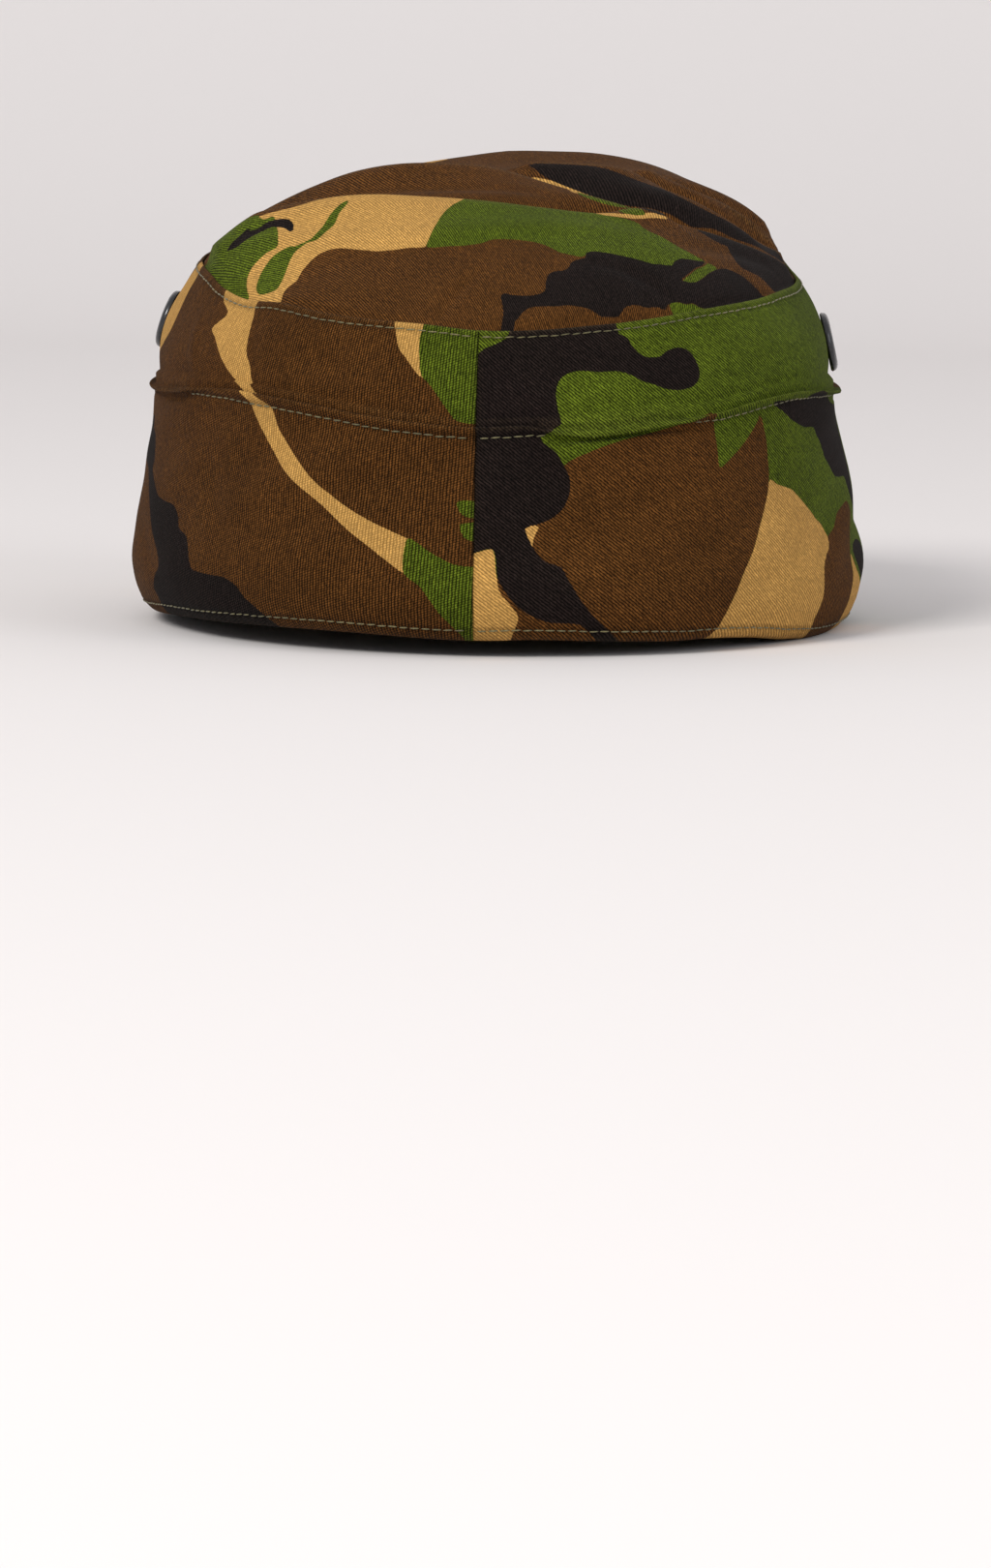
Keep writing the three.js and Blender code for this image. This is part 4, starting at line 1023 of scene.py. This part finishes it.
# %% Chart of the crown
# x towards the wearer's left and y towards the back, from the middle of the cap, in mm.
CROWN_CHART = {
    "tan": [
        [(70, 44), (62, 51), (58.8, 54.2), (56, 60), (53.9, 61), (53.2, 57.9), (51.9, 56.1), (50.1, 55.4),
         (49.1, 52.9), (47.3, 50.8), (45.1, 49.7), (42.6, 50.1), (40.1, 51.4), (37.6, 53.3), (35.1, 55.1),
         (32.6, 56.7), (30.1, 58.1), (26.3, 59.2), (22.6, 59.8), (18.8, 60.6), (17.3, 60.6), (16.3, 57.3),
         (15.1, 52.9), (14.1, 48.6), (12.6, 44.8), (10.7, 41.7), (9.4, 40.1), (8.3, 37.9), (9, 34), (12, 31),
         (20, 33), (25.1, 33), (28.8, 31.4), (32.6, 29.5), (36.3, 28.3), (40.7, 27), (43.8, 26.1), (46.9, 25.8),
         (50.1, 24.8), (52.6, 22.9), (56.3, 20.8), (62, 22), (68, 30)],
        [(-7, 1.2), (-12, 2), (-20, 6.6), (-26.3, 10.6), (-31, 12.4), (-30, 13.6), (-24, 12.4), (-15, 6.8)],
        [(-17, 9), (-21, 10), (-24, 15), (-19.5, 15.5)],
        [(-28, 33.2), (-33, 32.4), (-36.4, 31.6), (-38.6, 30), (-41, 27.6), (-43.4, 25.2), (-41.6, 24.8),
         (-39, 27), (-37, 29), (-33.6, 30.4), (-29, 31)],
        [(62, -16), (50, -20), (36.7, -14), (26, -20), (18, -30), (22, -40), (34, -36), (48, -30), (60, -28)],
        [(6, -70), (-10, -66), (-24, -62), (-34, -60), (-44, -58), (-42, -54), (-30, -54), (-16, -56),
         (0, -60), (14, -64), (24, -74), (18, -78)],
    ],
    "brown": [
        [(-28.4, 61.7), (-24.9, 61.8), (-21.8, 61.7), (-19.3, 60.4), (-16.8, 59.1), (-13.7, 58.4), (-8.7, 58.4),
         (-4.3, 58.9), (-1.2, 59.5), (1.3, 60.8), (6.3, 61.7), (10.1, 61.6), (15.1, 61.4), (18, 64), (0, 74),
         (-22, 74)],
    ],
    "leaf": [
        [(57, 19), (62, 16), (70, 14), (76, 24), (74, 40), (66, 50), (62, 51), (60.7, 49.2), (61, 45.4),
         (60.7, 42.3), (59.4, 39.5), (56.3, 37.9), (53.8, 38.2), (53.4, 35), (53.2, 31.7), (53.6, 24.8),
         (55.4, 23.6), (56.4, 21.6)],
        [(59.1, 49.2), (58.8, 46.7), (57.6, 43.6), (55.7, 41.1), (53.8, 40.4), (51.3, 40.8), (50.1, 42),
         (48.2, 42.4), (46.3, 42.3), (44.8, 40.4), (43.2, 37.9), (41.3, 35.1), (38.8, 32.3), (37.4, 32.1),
         (38.2, 34.2), (39.8, 36.7), (41, 39.8), (43.2, 42.3), (45.1, 43.9), (47.6, 43.3), (50.1, 44.2),
         (51.3, 46.1), (52.4, 49.2), (53.5, 52.3), (54.8, 54.5), (56.9, 53.8), (58.5, 51.9)],
        [(17.3, 60.6), (15.1, 61.4), (10.1, 61.6), (6.3, 61.7), (1.3, 60.8), (-1.2, 59.5), (-4.3, 58.9),
         (-8.7, 58.4), (-13.7, 58.4), (-16.8, 59.1), (-19.3, 60.4), (-21.8, 61.7), (-27.4, 61.8), (-29.4, 59),
         (-33.7, 57.8), (-37.4, 57), (-44.3, 55.4), (-48.7, 51.6), (-49.6, 48), (-50.6, 45.4), (-53, 42),
         (-54.5, 39.4), (-51.2, 39.2), (-47.4, 37.9), (-44.9, 37.3), (-41.8, 36.7), (-39.9, 35.4),
         (-38.1, 33.3), (-36.2, 32.6), (-33.7, 32.6), (-30.6, 32.9), (-27.4, 32.3), (-24, 31), (-14, 34.6),
         (-4, 36), (6, 35.4), (9, 34.6), (8.3, 37.9), (9.4, 40.1), (10.7, 41.7), (12.6, 44.8), (14.1, 48.6),
         (15.1, 52.9), (16.3, 57.3)],
        [(-32.4, 28.6), (-33.7, 26.7), (-35.6, 25.6), (-38.1, 26.7), (-38.7, 28.2), (-36.8, 29.6),
         (-34.3, 29.8)],
        [(-51.8, 54.6), (-52.4, 51.7), (-53.1, 48.6), (-53.7, 45.4), (-54.6, 42.3), (-55.2, 38.8), (-57, 38.4),
         (-56.2, 42.9), (-55.3, 47.9), (-54.3, 51.3), (-53.1, 53.3)],
        [(-49.9, 63.6), (-51.5, 61.7), (-53.4, 60.1), (-54.9, 57.9), (-56.5, 56.7), (-58.7, 54.5), (-63, 55),
         (-60, 62), (-54, 67)],
        [(-20, 12.6), (-25, 13.4), (-32, 15.6), (-36, 18.6), (-31, 19.4), (-25.6, 18.4), (-21.6, 16.6)],
        [(58, -32), (40, -44), (28, -48), (14, -50), (28, -58), (44, -60), (56, -48)],
    ],
    "black": [
        [(-28.4, 59.8), (-29.9, 58.3), (-33.7, 57.3), (-37.4, 56.4), (-41.2, 55.6), (-44.3, 54.8),
         (-46.2, 53.3), (-48.7, 51.1), (-49, 48.6), (-49.9, 45.4), (-51.8, 42.9), (-53.7, 40.4), (-54.4, 38.8),
         (-54.3, 42.3), (-53.4, 45.4), (-52.8, 48.6), (-52.1, 51.7), (-51.5, 54.2), (-53.1, 52.9),
         (-54.3, 51.1), (-55.3, 47.9), (-56.2, 42.9), (-57.1, 38.6), (-58.1, 35.4), (-59.3, 33.6),
         (-61.2, 31.7), (-63.7, 31.4), (-67, 31.6), (-72, 33), (-70, 42), (-66, 51), (-62, 55), (-58.7, 54.5),
         (-56.5, 56.7), (-54.9, 57.9), (-53.4, 60.1), (-51.5, 61.7), (-49.9, 63.6), (-49.3, 65.8),
         (-47.4, 67.3), (-44.9, 69.5), (-42.4, 71.1), (-39.9, 73.6), (-38.7, 76.1), (-36.2, 77.9),
         (-33.7, 79.2), (-30.6, 79.2), (-27.4, 79.8), (-24.9, 80.4), (-22.4, 81.4), (-19.9, 82), (-16.8, 82.6),
         (-14.3, 83.3), (-12.4, 85.1), (-11.5, 86.7), (-10.6, 87.9), (-10, 93), (-6.4, 94), (-7.1, 86.7),
         (-6.8, 83.6), (-5.9, 80.4), (-6.8, 79.2), (-9.3, 79.5), (-13.7, 79.5), (-16.8, 78.6), (-18.4, 77.3),
         (-18.4, 74.2), (-19, 71.1), (-20.6, 69.8), (-23.1, 68.9), (-24.3, 67.3), (-24.9, 64.8), (-26.8, 62.9),
         (-28.4, 61.7)],
        [(-48, 16), (-47.5, 19.4), (-49.9, 21.4), (-52.4, 22.2), (-54.3, 21.6), (-55.4, 20.4), (-56.4, 22),
         (-57.4, 23.6), (-58.7, 26.7), (-60.3, 28.1), (-62.4, 26.2), (-63.9, 24.6), (-68, 24), (-73, 15),
         (-73, 2), (-64, 5), (-58, 9), (-53, 12)],
        [(-6.3, -3.6), (-10, -4), (-20, -3), (-27.5, 0.6), (-32.5, 2.6), (-37.5, 4), (-41, 6.4), (-45, 6.8),
         (-49, 5.4), (-52.5, 3), (-57.5, -1), (-61, -6), (-64, -10), (-66, -7), (-63, -2.6), (-60, 1.4),
         (-55, 6), (-50.4, 8.8), (-46, 12.6), (-41, 12.9), (-35, 12.6), (-30, 11.8), (-22.5, 8.6), (-15, 3.8),
         (-9.4, 0.2)],
        [(64.1, 27.3), (63.2, 25.8), (61.3, 24.2), (59.4, 22.6), (58.5, 24.3), (56.9, 25.1), (54.8, 25.4),
         (52.6, 27.3), (50.7, 29.5), (49.8, 32.3), (50.3, 35.4), (51, 33.9), (51.9, 31.4), (53.2, 29.5),
         (54.8, 27.9), (56.9, 27.3), (59.4, 27.6), (61.9, 28.3)],
        [(-37, 21), (-36, 25), (-38.4, 26), (-41.4, 25.4), (-43, 23.4), (-40, 21)],
        [(-50, -44), (-40, -56), (-26, -68), (-10, -78), (2, -92), (-14, -94), (-30, -84), (-48, -66),
         (-58, -52)],
    ],
}

# %% Build the crown
CROWN_GRID = 219
SKIRT = 0.055
side_steps = np.linspace(-1, 1, CROWN_GRID)
across, along_y = np.meshgrid(side_steps, side_steps)
disc_x = across * np.sqrt(1 - along_y**2 / 2)
disc_y = along_y * np.sqrt(1 - across**2 / 2)
ring = np.hypot(disc_x, disc_y) * (1 + SKIRT)
angle = np.arctan2(disc_x, disc_y)
angle = np.where(ring < 1e-9, 0, angle)
on_top = crown_point(angle, np.minimum(ring, 1))
hang = np.maximum(ring - 1, 0) / SKIRT
skirt = crown_edge(angle, BAND_EDGE + hang * SEAM_ALLOWANCE)
face = np.where((ring > 1)[..., None], skirt, on_top)
slope_x, slope_y = np.gradient(face, axis=1), np.gradient(face, axis=0)
normal = np.cross(slope_x, slope_y)
normal /= np.linalg.norm(normal, axis=-1, keepdims=True) + 1e-12
normal *= np.sign(normal[CROWN_GRID // 2, CROWN_GRID // 2, 2])
inward = np.stack([-np.sin(angle), -np.cos(angle), np.zeros(angle.shape)], -1)
lean_in = smoothstep(ring, 0.97, 1)[..., None]
drop = -normal * (1 - lean_in) + inward * lean_in
drop /= np.linalg.norm(drop, axis=-1, keepdims=True)
from_rim = (1 + SKIRT - ring) / SKIRT * SEAM_ALLOWANCE
back = face + drop * (CLOTH * edge_fade(from_rim, CLOTH))[..., None]
plan = face[..., :2] - [0, centre_y]
# The chart is read by the distance from the middle and by the wall's own angle.
from_middle = np.hypot(plan[..., 0], plan[..., 1])
charted = np.stack([from_middle * np.sin(angle), from_middle * np.cos(angle)], -1)
inks = ink_from(CROWN_CHART, charted.reshape(-1, 2))
values = {ink: on_both(array.reshape(ring.shape)) for ink, array in inks.items()}
no_lines = np.full((*ring.shape, 3), 30.0)
values["lines"] = on_both(no_lines)
crest_rub = np.zeros(ring.shape)
for crest in CRESTS.values():
    off, _ = beside(open_curve(crest["line"]), plan[..., 0], plan[..., 1])
    crest_rub = np.maximum(crest_rub, 0.4 * flanks(off, 1.2, 0.9))
values["worn"] = on_both(crest_rub)
values["inside"] = np.stack([np.zeros(ring.shape), np.ones(ring.shape)])
# The weave follows the cloth, so it is laid by the distance over the surface from the middle of the crown.
RING_SHARES = (0.35, 0.6, 0.8, 0.88, 0.93, 0.97, 1)
travelled = np.zeros(ring.shape)
last = crown_point(angle, ring * 0)
for share in RING_SHARES:
    here = crown_point(angle, np.minimum(ring, 1) * share)
    travelled += np.linalg.norm(here - last, axis=-1)
    last = here
travelled += hang * SEAM_ALLOWANCE
flat = np.stack([travelled * np.sin(angle), -travelled * np.cos(angle), np.zeros(ring.shape)], -1)
crown = finish_piece(shell("crown_cloth", face, back, on_both(flat), values), twills["crown"], "crown_twill", "crown_top")
print("crown from", round(float(face[..., 2].min()), 1), "to", round(float(face[..., 2].max()), 1), "mm high")

# %% [markdown]
# ## The ear flap
# The flap is folded up inside the lower band and only shows from below, as a second layer behind the hem. It is a
# plain band with rounded ends, so it takes the wall's law at a smaller distance from the middle.

# %% Build the ear flap
FLAP_THICKNESS = 2
FLAP_GAP = 0.4
FLAP_END = 112
FLAP_FOOT = 4
FLAP_TOP_BELOW_TUCK = 5
FLAP_END_HEIGHT = 17
FLAP_CHART = {
    "green": [[(-170, 20), (-140, 42), (-110, 36), (-96, 18), (-120, 4), (-160, 4)],
              [(-40, 44), (-10, 34), (20, 40), (50, 52), (30, 20), (-10, 14), (-50, 24)],
              [(110, 40), (150, 34), (180, 20), (150, 8), (118, 16)]],
    "tan": [[(-80, 50), (-62, 34), (-66, 18), (-54, 4), (-44, 6), (-52, 22), (-50, 38), (-64, 56)],
            [(72, 4), (84, 22), (104, 30), (126, 52), (112, 54), (92, 38), (74, 28), (60, 6)]],
    "black": [[(-30, 6), (0, 12), (30, 8), (58, 24), (66, 40), (48, 36), (26, 22), (-4, 26), (-34, 18)]],
}
flap_columns = np.radians(np.linspace(-FLAP_END, FLAP_END, 240))
row_shares = (1 - np.cos(np.linspace(0, math.pi, 40))) / 2
full_top = tuck_height(flap_columns) - FLAP_TOP_BELOW_TUCK
taper = np.sqrt(np.maximum(1 - (np.abs(flap_columns) / math.radians(FLAP_END)) ** 10, 0))
foot = hem_height(flap_columns) + FLAP_FOOT
top = hem_height(flap_columns) + FLAP_END_HEIGHT + (full_top - hem_height(flap_columns) - FLAP_END_HEIGHT) * taper
height = foot + (top - foot) * row_shares[:, None]
level = (height - hem_height(flap_columns)) / (tuck_height(flap_columns) - hem_height(flap_columns))
face = wall(flap_columns[None], level, -CLOTH - FLAP_GAP)
back = wall(flap_columns[None], level, -CLOTH - FLAP_GAP - FLAP_THICKNESS)
flap_along = np.sign(flap_columns) * np.interp(np.abs(flap_columns), turns, lengths)
edge_off = np.minimum(np.minimum(height - foot, top - height), (flap_along.max() - np.abs(flap_along))[None])
fade = edge_fade(edge_off, FLAP_THICKNESS)
middle = (face + back) / 2
face = middle + (face - middle) * fade[..., None]
back = middle + (back - middle) * fade[..., None]
wide = np.broadcast_to(flap_along, height.shape)
inks = ink_from(FLAP_CHART, np.stack([wide, height], -1).reshape(-1, 2))
values = {ink: on_both(array.reshape(height.shape)) for ink, array in inks.items()}
flap_lines = np.stack([height - foot - HEM_STITCH, top - height - HEM_STITCH, height * 0 + 30], -1)
values["lines"] = on_both(flap_lines)
values["worn"] = on_both(0.3 * np.exp(-edge_off / 0.8))
values["inside"] = on_both(np.zeros(height.shape))
flat = np.stack([wide, height, np.zeros(height.shape)], -1)
flap = finish_piece(shell("ear_flap_cloth", face, back, on_both(flat), values), twills["flap"], "flap_twill", "ear_flap")

# %% [markdown]
# ## The peak
# The peak is two layers of the same twill over a stiff board, stitched in rows that follow its edge and sewn under
# the front of the hem. Its outline is a half ellipse that slopes down a little. A grid from one end to the other,
# bent by that law and rounded at its rim, gives the shape, and fine grooves carry the rows of topstitching.

# %% Build the peak
PEAK_HALF_ANGLE = 56
PEAK_THICKNESS = 2.6
PEAK_DROP = 7
PEAK_SPREAD = 1.05
PEAK_ROWS = (3.0, 10.0, 17.0)
PEAK_CHART = {
    "green": [[(-90, 2), (-60, 20), (-34, 26), (-10, 8), (-20, -10), (-60, -20)],
              [(26, 64), (44, 44), (68, 40), (90, 20), (90, 70)],
              [(-44, 64), (-30, 44), (-8, 46), (4, 66)]],
    "tan": [[(-74, 40), (-52, 30), (-24, 34), (2, 22), (22, 4), (30, 8), (10, 30), (-18, 42), (-50, 40), (-70, 50)]],
    "black": [[(14, 70), (18, 50), (36, 32), (60, 26), (84, 4), (72, -4), (50, 14), (28, 22), (8, 42), (2, 60)]],
}
peak_across = np.sin(np.linspace(-0.5, 0.5, 130) * math.pi)
peak_angle = math.pi + peak_across * math.radians(PEAK_HALF_ANGLE)
peak_shares = np.concatenate([np.linspace(0, 0.96, 50), [0.975, 0.988, 0.996, 1]])[:, None]
root = wall(peak_angle, np.zeros(len(peak_angle)), worn=False)
root_in = wall(peak_angle, np.zeros(len(peak_angle)), -CLOTH, worn=False)
peak_reach = PEAK_REACH * np.sqrt(np.maximum(1 - peak_across**2, 0))
slope = PEAK_DROP * (peak_reach / PEAK_REACH) ** 2 * peak_shares * (0.7 + 0.3 * peak_shares)
peak_x = root[:, 0] * (1 + (PEAK_SPREAD - 1) * peak_shares)
peak_y = root[:, 1] - peak_reach * peak_shares
inner_y = np.where(peak_shares == 0, root_in[:, 1], peak_y)
peak_top = root[:, 2] - SEAM_GAP - slope
rim_off = np.minimum(peak_reach * (1 - peak_shares), (1 - np.abs(peak_across))[None] * 40)
root_off = np.where(peak_shares == 0, 0, PEAK_THICKNESS)
fade = edge_fade(np.minimum(rim_off, root_off), PEAK_THICKNESS)
middle_z = peak_top - PEAK_THICKNESS / 2
face = np.stack([peak_x, inner_y, middle_z + PEAK_THICKNESS / 2 * fade], -1)
back = np.stack([peak_x, inner_y, middle_z - PEAK_THICKNESS / 2 * fade], -1)
flat = np.stack([peak_x, peak_reach * peak_shares, np.zeros(peak_x.shape)], -1)
inks = ink_from(PEAK_CHART, flat[..., :2].reshape(-1, 2))
values = {ink: on_both(array.reshape(peak_x.shape)) for ink, array in inks.items()}
values["lines"] = on_both(np.stack([rim_off - row for row in PEAK_ROWS], -1))
values["worn"] = on_both(0.55 * np.exp(-rim_off / 1.0))
values["inside"] = on_both(np.zeros(peak_x.shape))
peak = finish_piece(shell("peak_cloth", face, back, on_both(flat), values), twills["peak"], "peak_twill", "peak")

# %% [markdown]
# ## The vents
# A black enamelled eyelet is clinched through each side of the upper band, to let air out. It is turned metal, so
# half of its section is drawn in profile and spun round its own axis.

# %% Black enamel
enamel = Shader("black_enamel")
spot = enamel.node("ShaderNodeTexCoord").outputs["Object"]
grain = enamel.noise(spot, 900, 3)
scuffs = enamel.ramp(enamel.noise(spot, 420, 4, 0.7), 0.6, 0.72)
enamel_colour = enamel.blend(scuffs, from_screen(24, 24, 28), from_screen(66, 64, 62))
enamel.tree.links.new(enamel_colour, enamel.surface.inputs["Base Color"])
enamel.tree.links.new(enamel.ramp(grain, 0.3, 0.7, 0.24, 0.42), enamel.surface.inputs["Roughness"])
enamel.tree.links.new(enamel.node("ShaderNodeBump", Strength=0.25, Distance=0.00004, Height=grain).outputs[0],
                      enamel.surface.inputs["Normal"])
enamel.surface.inputs["Metallic"].default_value = 0.25
enamel.surface.inputs["Coat Weight"].default_value = 0.5
enamel.surface.inputs["Coat Roughness"].default_value = 0.12

# %% Spin and place a vent
VENT_ANGLE = 92
VENT_LEVEL = {"left": 1.49, "right": 1.42}
VENT_RADIUS = 7
VENT_DOME = 1.9
VENT_BORE = 2.6
VENT_BARREL = 0.8
VENT_WASHER = (5.2, 0.7)
VENT_SEAT_GAP = 0.55
VENT_SINK = 0.6
VENT_STEPS = 56


def vent(side):
    sign = 1 if side == "left" else -1
    angle, level, step = sign * math.radians(VENT_ANGLE), VENT_LEVEL[side], 0.04
    spots = wall(np.array([angle, angle + step, angle - step, angle, angle]),
                 np.array([level, level, level, level + step, level - step]), worn=False)
    round_way, up_way = Vector(spots[1] - spots[2]), Vector(spots[3] - spots[4])
    outward = up_way.cross(round_way).normalized()
    outward = outward if outward.x * sign > 0 else -outward
    inner = -CLOTH - VENT_SEAT_GAP
    seat = SEAM_GAP - VENT_SINK
    barrel = VENT_BORE + VENT_BARREL
    foot = inner - VENT_WASHER[1]
    profile = [(VENT_BORE, foot), (VENT_WASHER[0] - 0.25, foot), (VENT_WASHER[0], foot + 0.3), (VENT_WASHER[0], inner),
               (barrel, inner), (barrel, seat)]
    profile += [(VENT_RADIUS * 0.95, seat), (VENT_RADIUS, seat + 0.35)]
    for turn in np.linspace(0.15, 1, 9) * math.pi:
        half = (VENT_RADIUS - VENT_BORE) / 2
        radius = VENT_BORE + half * (1 + math.cos(turn))
        profile.append((radius, seat + 0.35 + (VENT_DOME - 0.35) * math.sin(turn) ** 0.8))
    profile.append((VENT_BORE, seat - SEAM_GAP))
    bm = bmesh.new()
    corners = [bm.verts.new((radius * MM, 0, up * MM)) for radius, up in profile]
    ring_edges = [bm.edges.new((a, b)) for a, b in zip(corners, corners[1:] + corners[:1])]
    bmesh.ops.spin(bm, geom=corners + ring_edges, cent=(0, 0, 0), axis=(0, 0, 1), angle=2 * math.pi,
                   steps=VENT_STEPS, use_merge=True)
    bmesh.ops.remove_doubles(bm, verts=bm.verts[:], dist=weld_distance())
    bmesh.ops.recalc_face_normals(bm, faces=bm.faces[:])
    turn = outward.to_track_quat("Z", "Y").to_matrix().to_4x4()
    bmesh.ops.transform(bm, matrix=Matrix.Translation(Vector(spots[0]) * MM) @ turn, verts=bm.verts[:])
    mesh = bpy.data.meshes.new(f"vent_{side}_ring")
    bm.to_mesh(mesh)
    bm.free()
    for polygon in mesh.polygons:
        polygon.use_smooth = True
    piece = bpy.data.objects.new(f"vent_{side}_ring", mesh)
    bpy.context.scene.collection.objects.link(piece)
    print(piece.name, "has", len(mesh.polygons), "faces at", [round(c, 1) for c in spots[0]])
    return finish_piece(piece, enamel.material, f"vent_{side}_black", f"vent_{side}")


vent_left, vent_right = vent("left"), vent("right")

# %% [markdown]
# ## Topstitching
# A line of lockstitch shows as short floats of thread with a needle hole between them. A grooved texture could hint
# at them, but on a cap they catch the light, so each float is a small spindle laid on the cloth. They are repeated
# by the hundred, so each has only a few dozen faces, and one piece holds all the floats of a line.

# %% Thread
thread = Shader("olive_thread")
thread_spot = thread.node("ShaderNodeTexCoord").outputs["Object"]
fibre = thread.noise(thread_spot, 2600, 3, 0.6)
fade = thread.noise(thread_spot, 60, 2)
thread_colour = thread.blend(thread.ramp(fibre, 0.3, 0.7), from_screen(78, 72, 42), from_screen(122, 112, 70))
thread_colour = thread.blend(thread.ramp(fade, 0.35, 0.65, 0.0, 0.6), thread_colour, from_screen(62, 60, 30))
thread.tree.links.new(thread_colour, thread.surface.inputs["Base Color"])
thread.tree.links.new(thread.node("ShaderNodeBump", Strength=0.5, Distance=0.00008, Height=fibre).outputs[0],
                      thread.surface.inputs["Normal"])
thread.surface.inputs["Roughness"].default_value = 0.75
thread.surface.inputs["Sheen Weight"].default_value = 0.2

# %% Rows of stitches
STITCH_PITCH = 2.5
STITCH_SHARE = 0.86
THREAD_THICK = 0.36
STITCH_SEED = 23
stitch_dice = np.random.default_rng(STITCH_SEED)


def stitch_row(name, path, outward, slot):
    """A row of spindles along a path of points in mm, with the direction that faces out at each point."""
    gaps = np.linalg.norm(np.diff(path, axis=0), axis=1)
    run = np.concatenate([[0], np.cumsum(gaps)])
    count = max(int(run[-1] / STITCH_PITCH), 2)
    centres = (np.arange(count) + 0.5) * run[-1] / count
    bm = bmesh.new()
    for centre in centres:
        half = STITCH_PITCH * STITCH_SHARE / 2 * stitch_dice.uniform(0.9, 1.06)
        at = [np.array([np.interp(s, run, path[:, i]) for i in range(3)]) for s in (centre - half, centre, centre + half)]
        up = Vector([np.interp(centre, run, outward[:, i]) for i in range(3)]).normalized()
        way = Vector(at[2] - at[0]).normalized()
        side = up.cross(way).normalized()
        way = (way + side * stitch_dice.uniform(-0.02, 0.1)).normalized()
        side = up.cross(way).normalized()
        thick = THREAD_THICK / 2 * stitch_dice.uniform(0.9, 1.1)
        place = Vector(at[1]) + up * (THREAD_THICK * 0.2) + side * stitch_dice.uniform(-0.08, 0.08)
        turn = Matrix((way * half, side * thick, up * thick)).transposed().to_4x4() * MM
        turn[3][3] = 1
        turn.translation = place * MM
        bmesh.ops.create_uvsphere(bm, u_segments=6, v_segments=5, radius=1,
                                  matrix=turn @ Matrix.Rotation(math.pi / 2, 4, "Y"))
    mesh = bpy.data.meshes.new(name)
    bm.to_mesh(mesh)
    bm.free()
    for polygon in mesh.polygons:
        polygon.use_smooth = True
    piece = bpy.data.objects.new(name, mesh)
    bpy.context.scene.collection.objects.link(piece)
    print(name, "has", count, "stitches and", len(mesh.polygons), "faces")
    return finish_piece(piece, thread.material, slot)


def wall_stitches(name, side, level_of, slot, first=1.2, last=1.2):
    """Stitches along a line of a side panel. level_of gives the level at each angle."""
    sign = 1 if side == "left" else -1
    along = sign * np.linspace(first, HALF_ROUND - last, 900)
    angle = angle_at(along)
    level = level_of(angle)
    ease = LAP_OUT[side] * np.exp(-((np.abs(along) / LAP_REACH[side]) ** 2))
    off = np.abs(along) - ALLOWANCE_RIDGE["at"]
    ease = ease + ALLOWANCE_RIDGE["rise"] * np.exp(-((off / ALLOWANCE_RIDGE["half"]) ** 2))
    path = wall(angle, level, ease)
    step = 0.02
    up_way = wall(angle, np.minimum(level + step, 2), ease) - wall(angle, np.maximum(level - step, 0), ease)
    round_way = wall(angle + step, level, ease) - wall(angle - step, level, ease)
    outward = np.cross(round_way, up_way)
    outward /= np.linalg.norm(outward, axis=1, keepdims=True)
    outward *= np.sign((outward[:, :2] * (path[:, :2] - [0, centre_y])).sum(1))[:, None]
    return stitch_row(name, path, outward, slot)


def hem_stitch_level(angle):
    return HEM_STITCH / (tuck_height(angle) - hem_height(angle))


def tuck_stitch_level(angle):
    lift = tuck_stitch_lift(angle)
    below = tuck_height(angle) - hem_height(angle)
    above = seam_height(angle) - tuck_height(angle)
    return 1 + np.where(lift < 0, lift / below, lift / above)


def seam_stitch_level(angle):
    return 2 - SEAM_STITCH / (seam_height(angle) - tuck_height(angle))


for side in ("left", "right"):
    wall_stitches(f"hem_stitches_{side}", side, hem_stitch_level, f"{side}_twill")
    wall_stitches(f"tuck_stitches_{side}", side, tuck_stitch_level, f"{side}_twill")
    wall_stitches(f"seam_stitches_{side}", side, seam_stitch_level, f"{side}_twill")
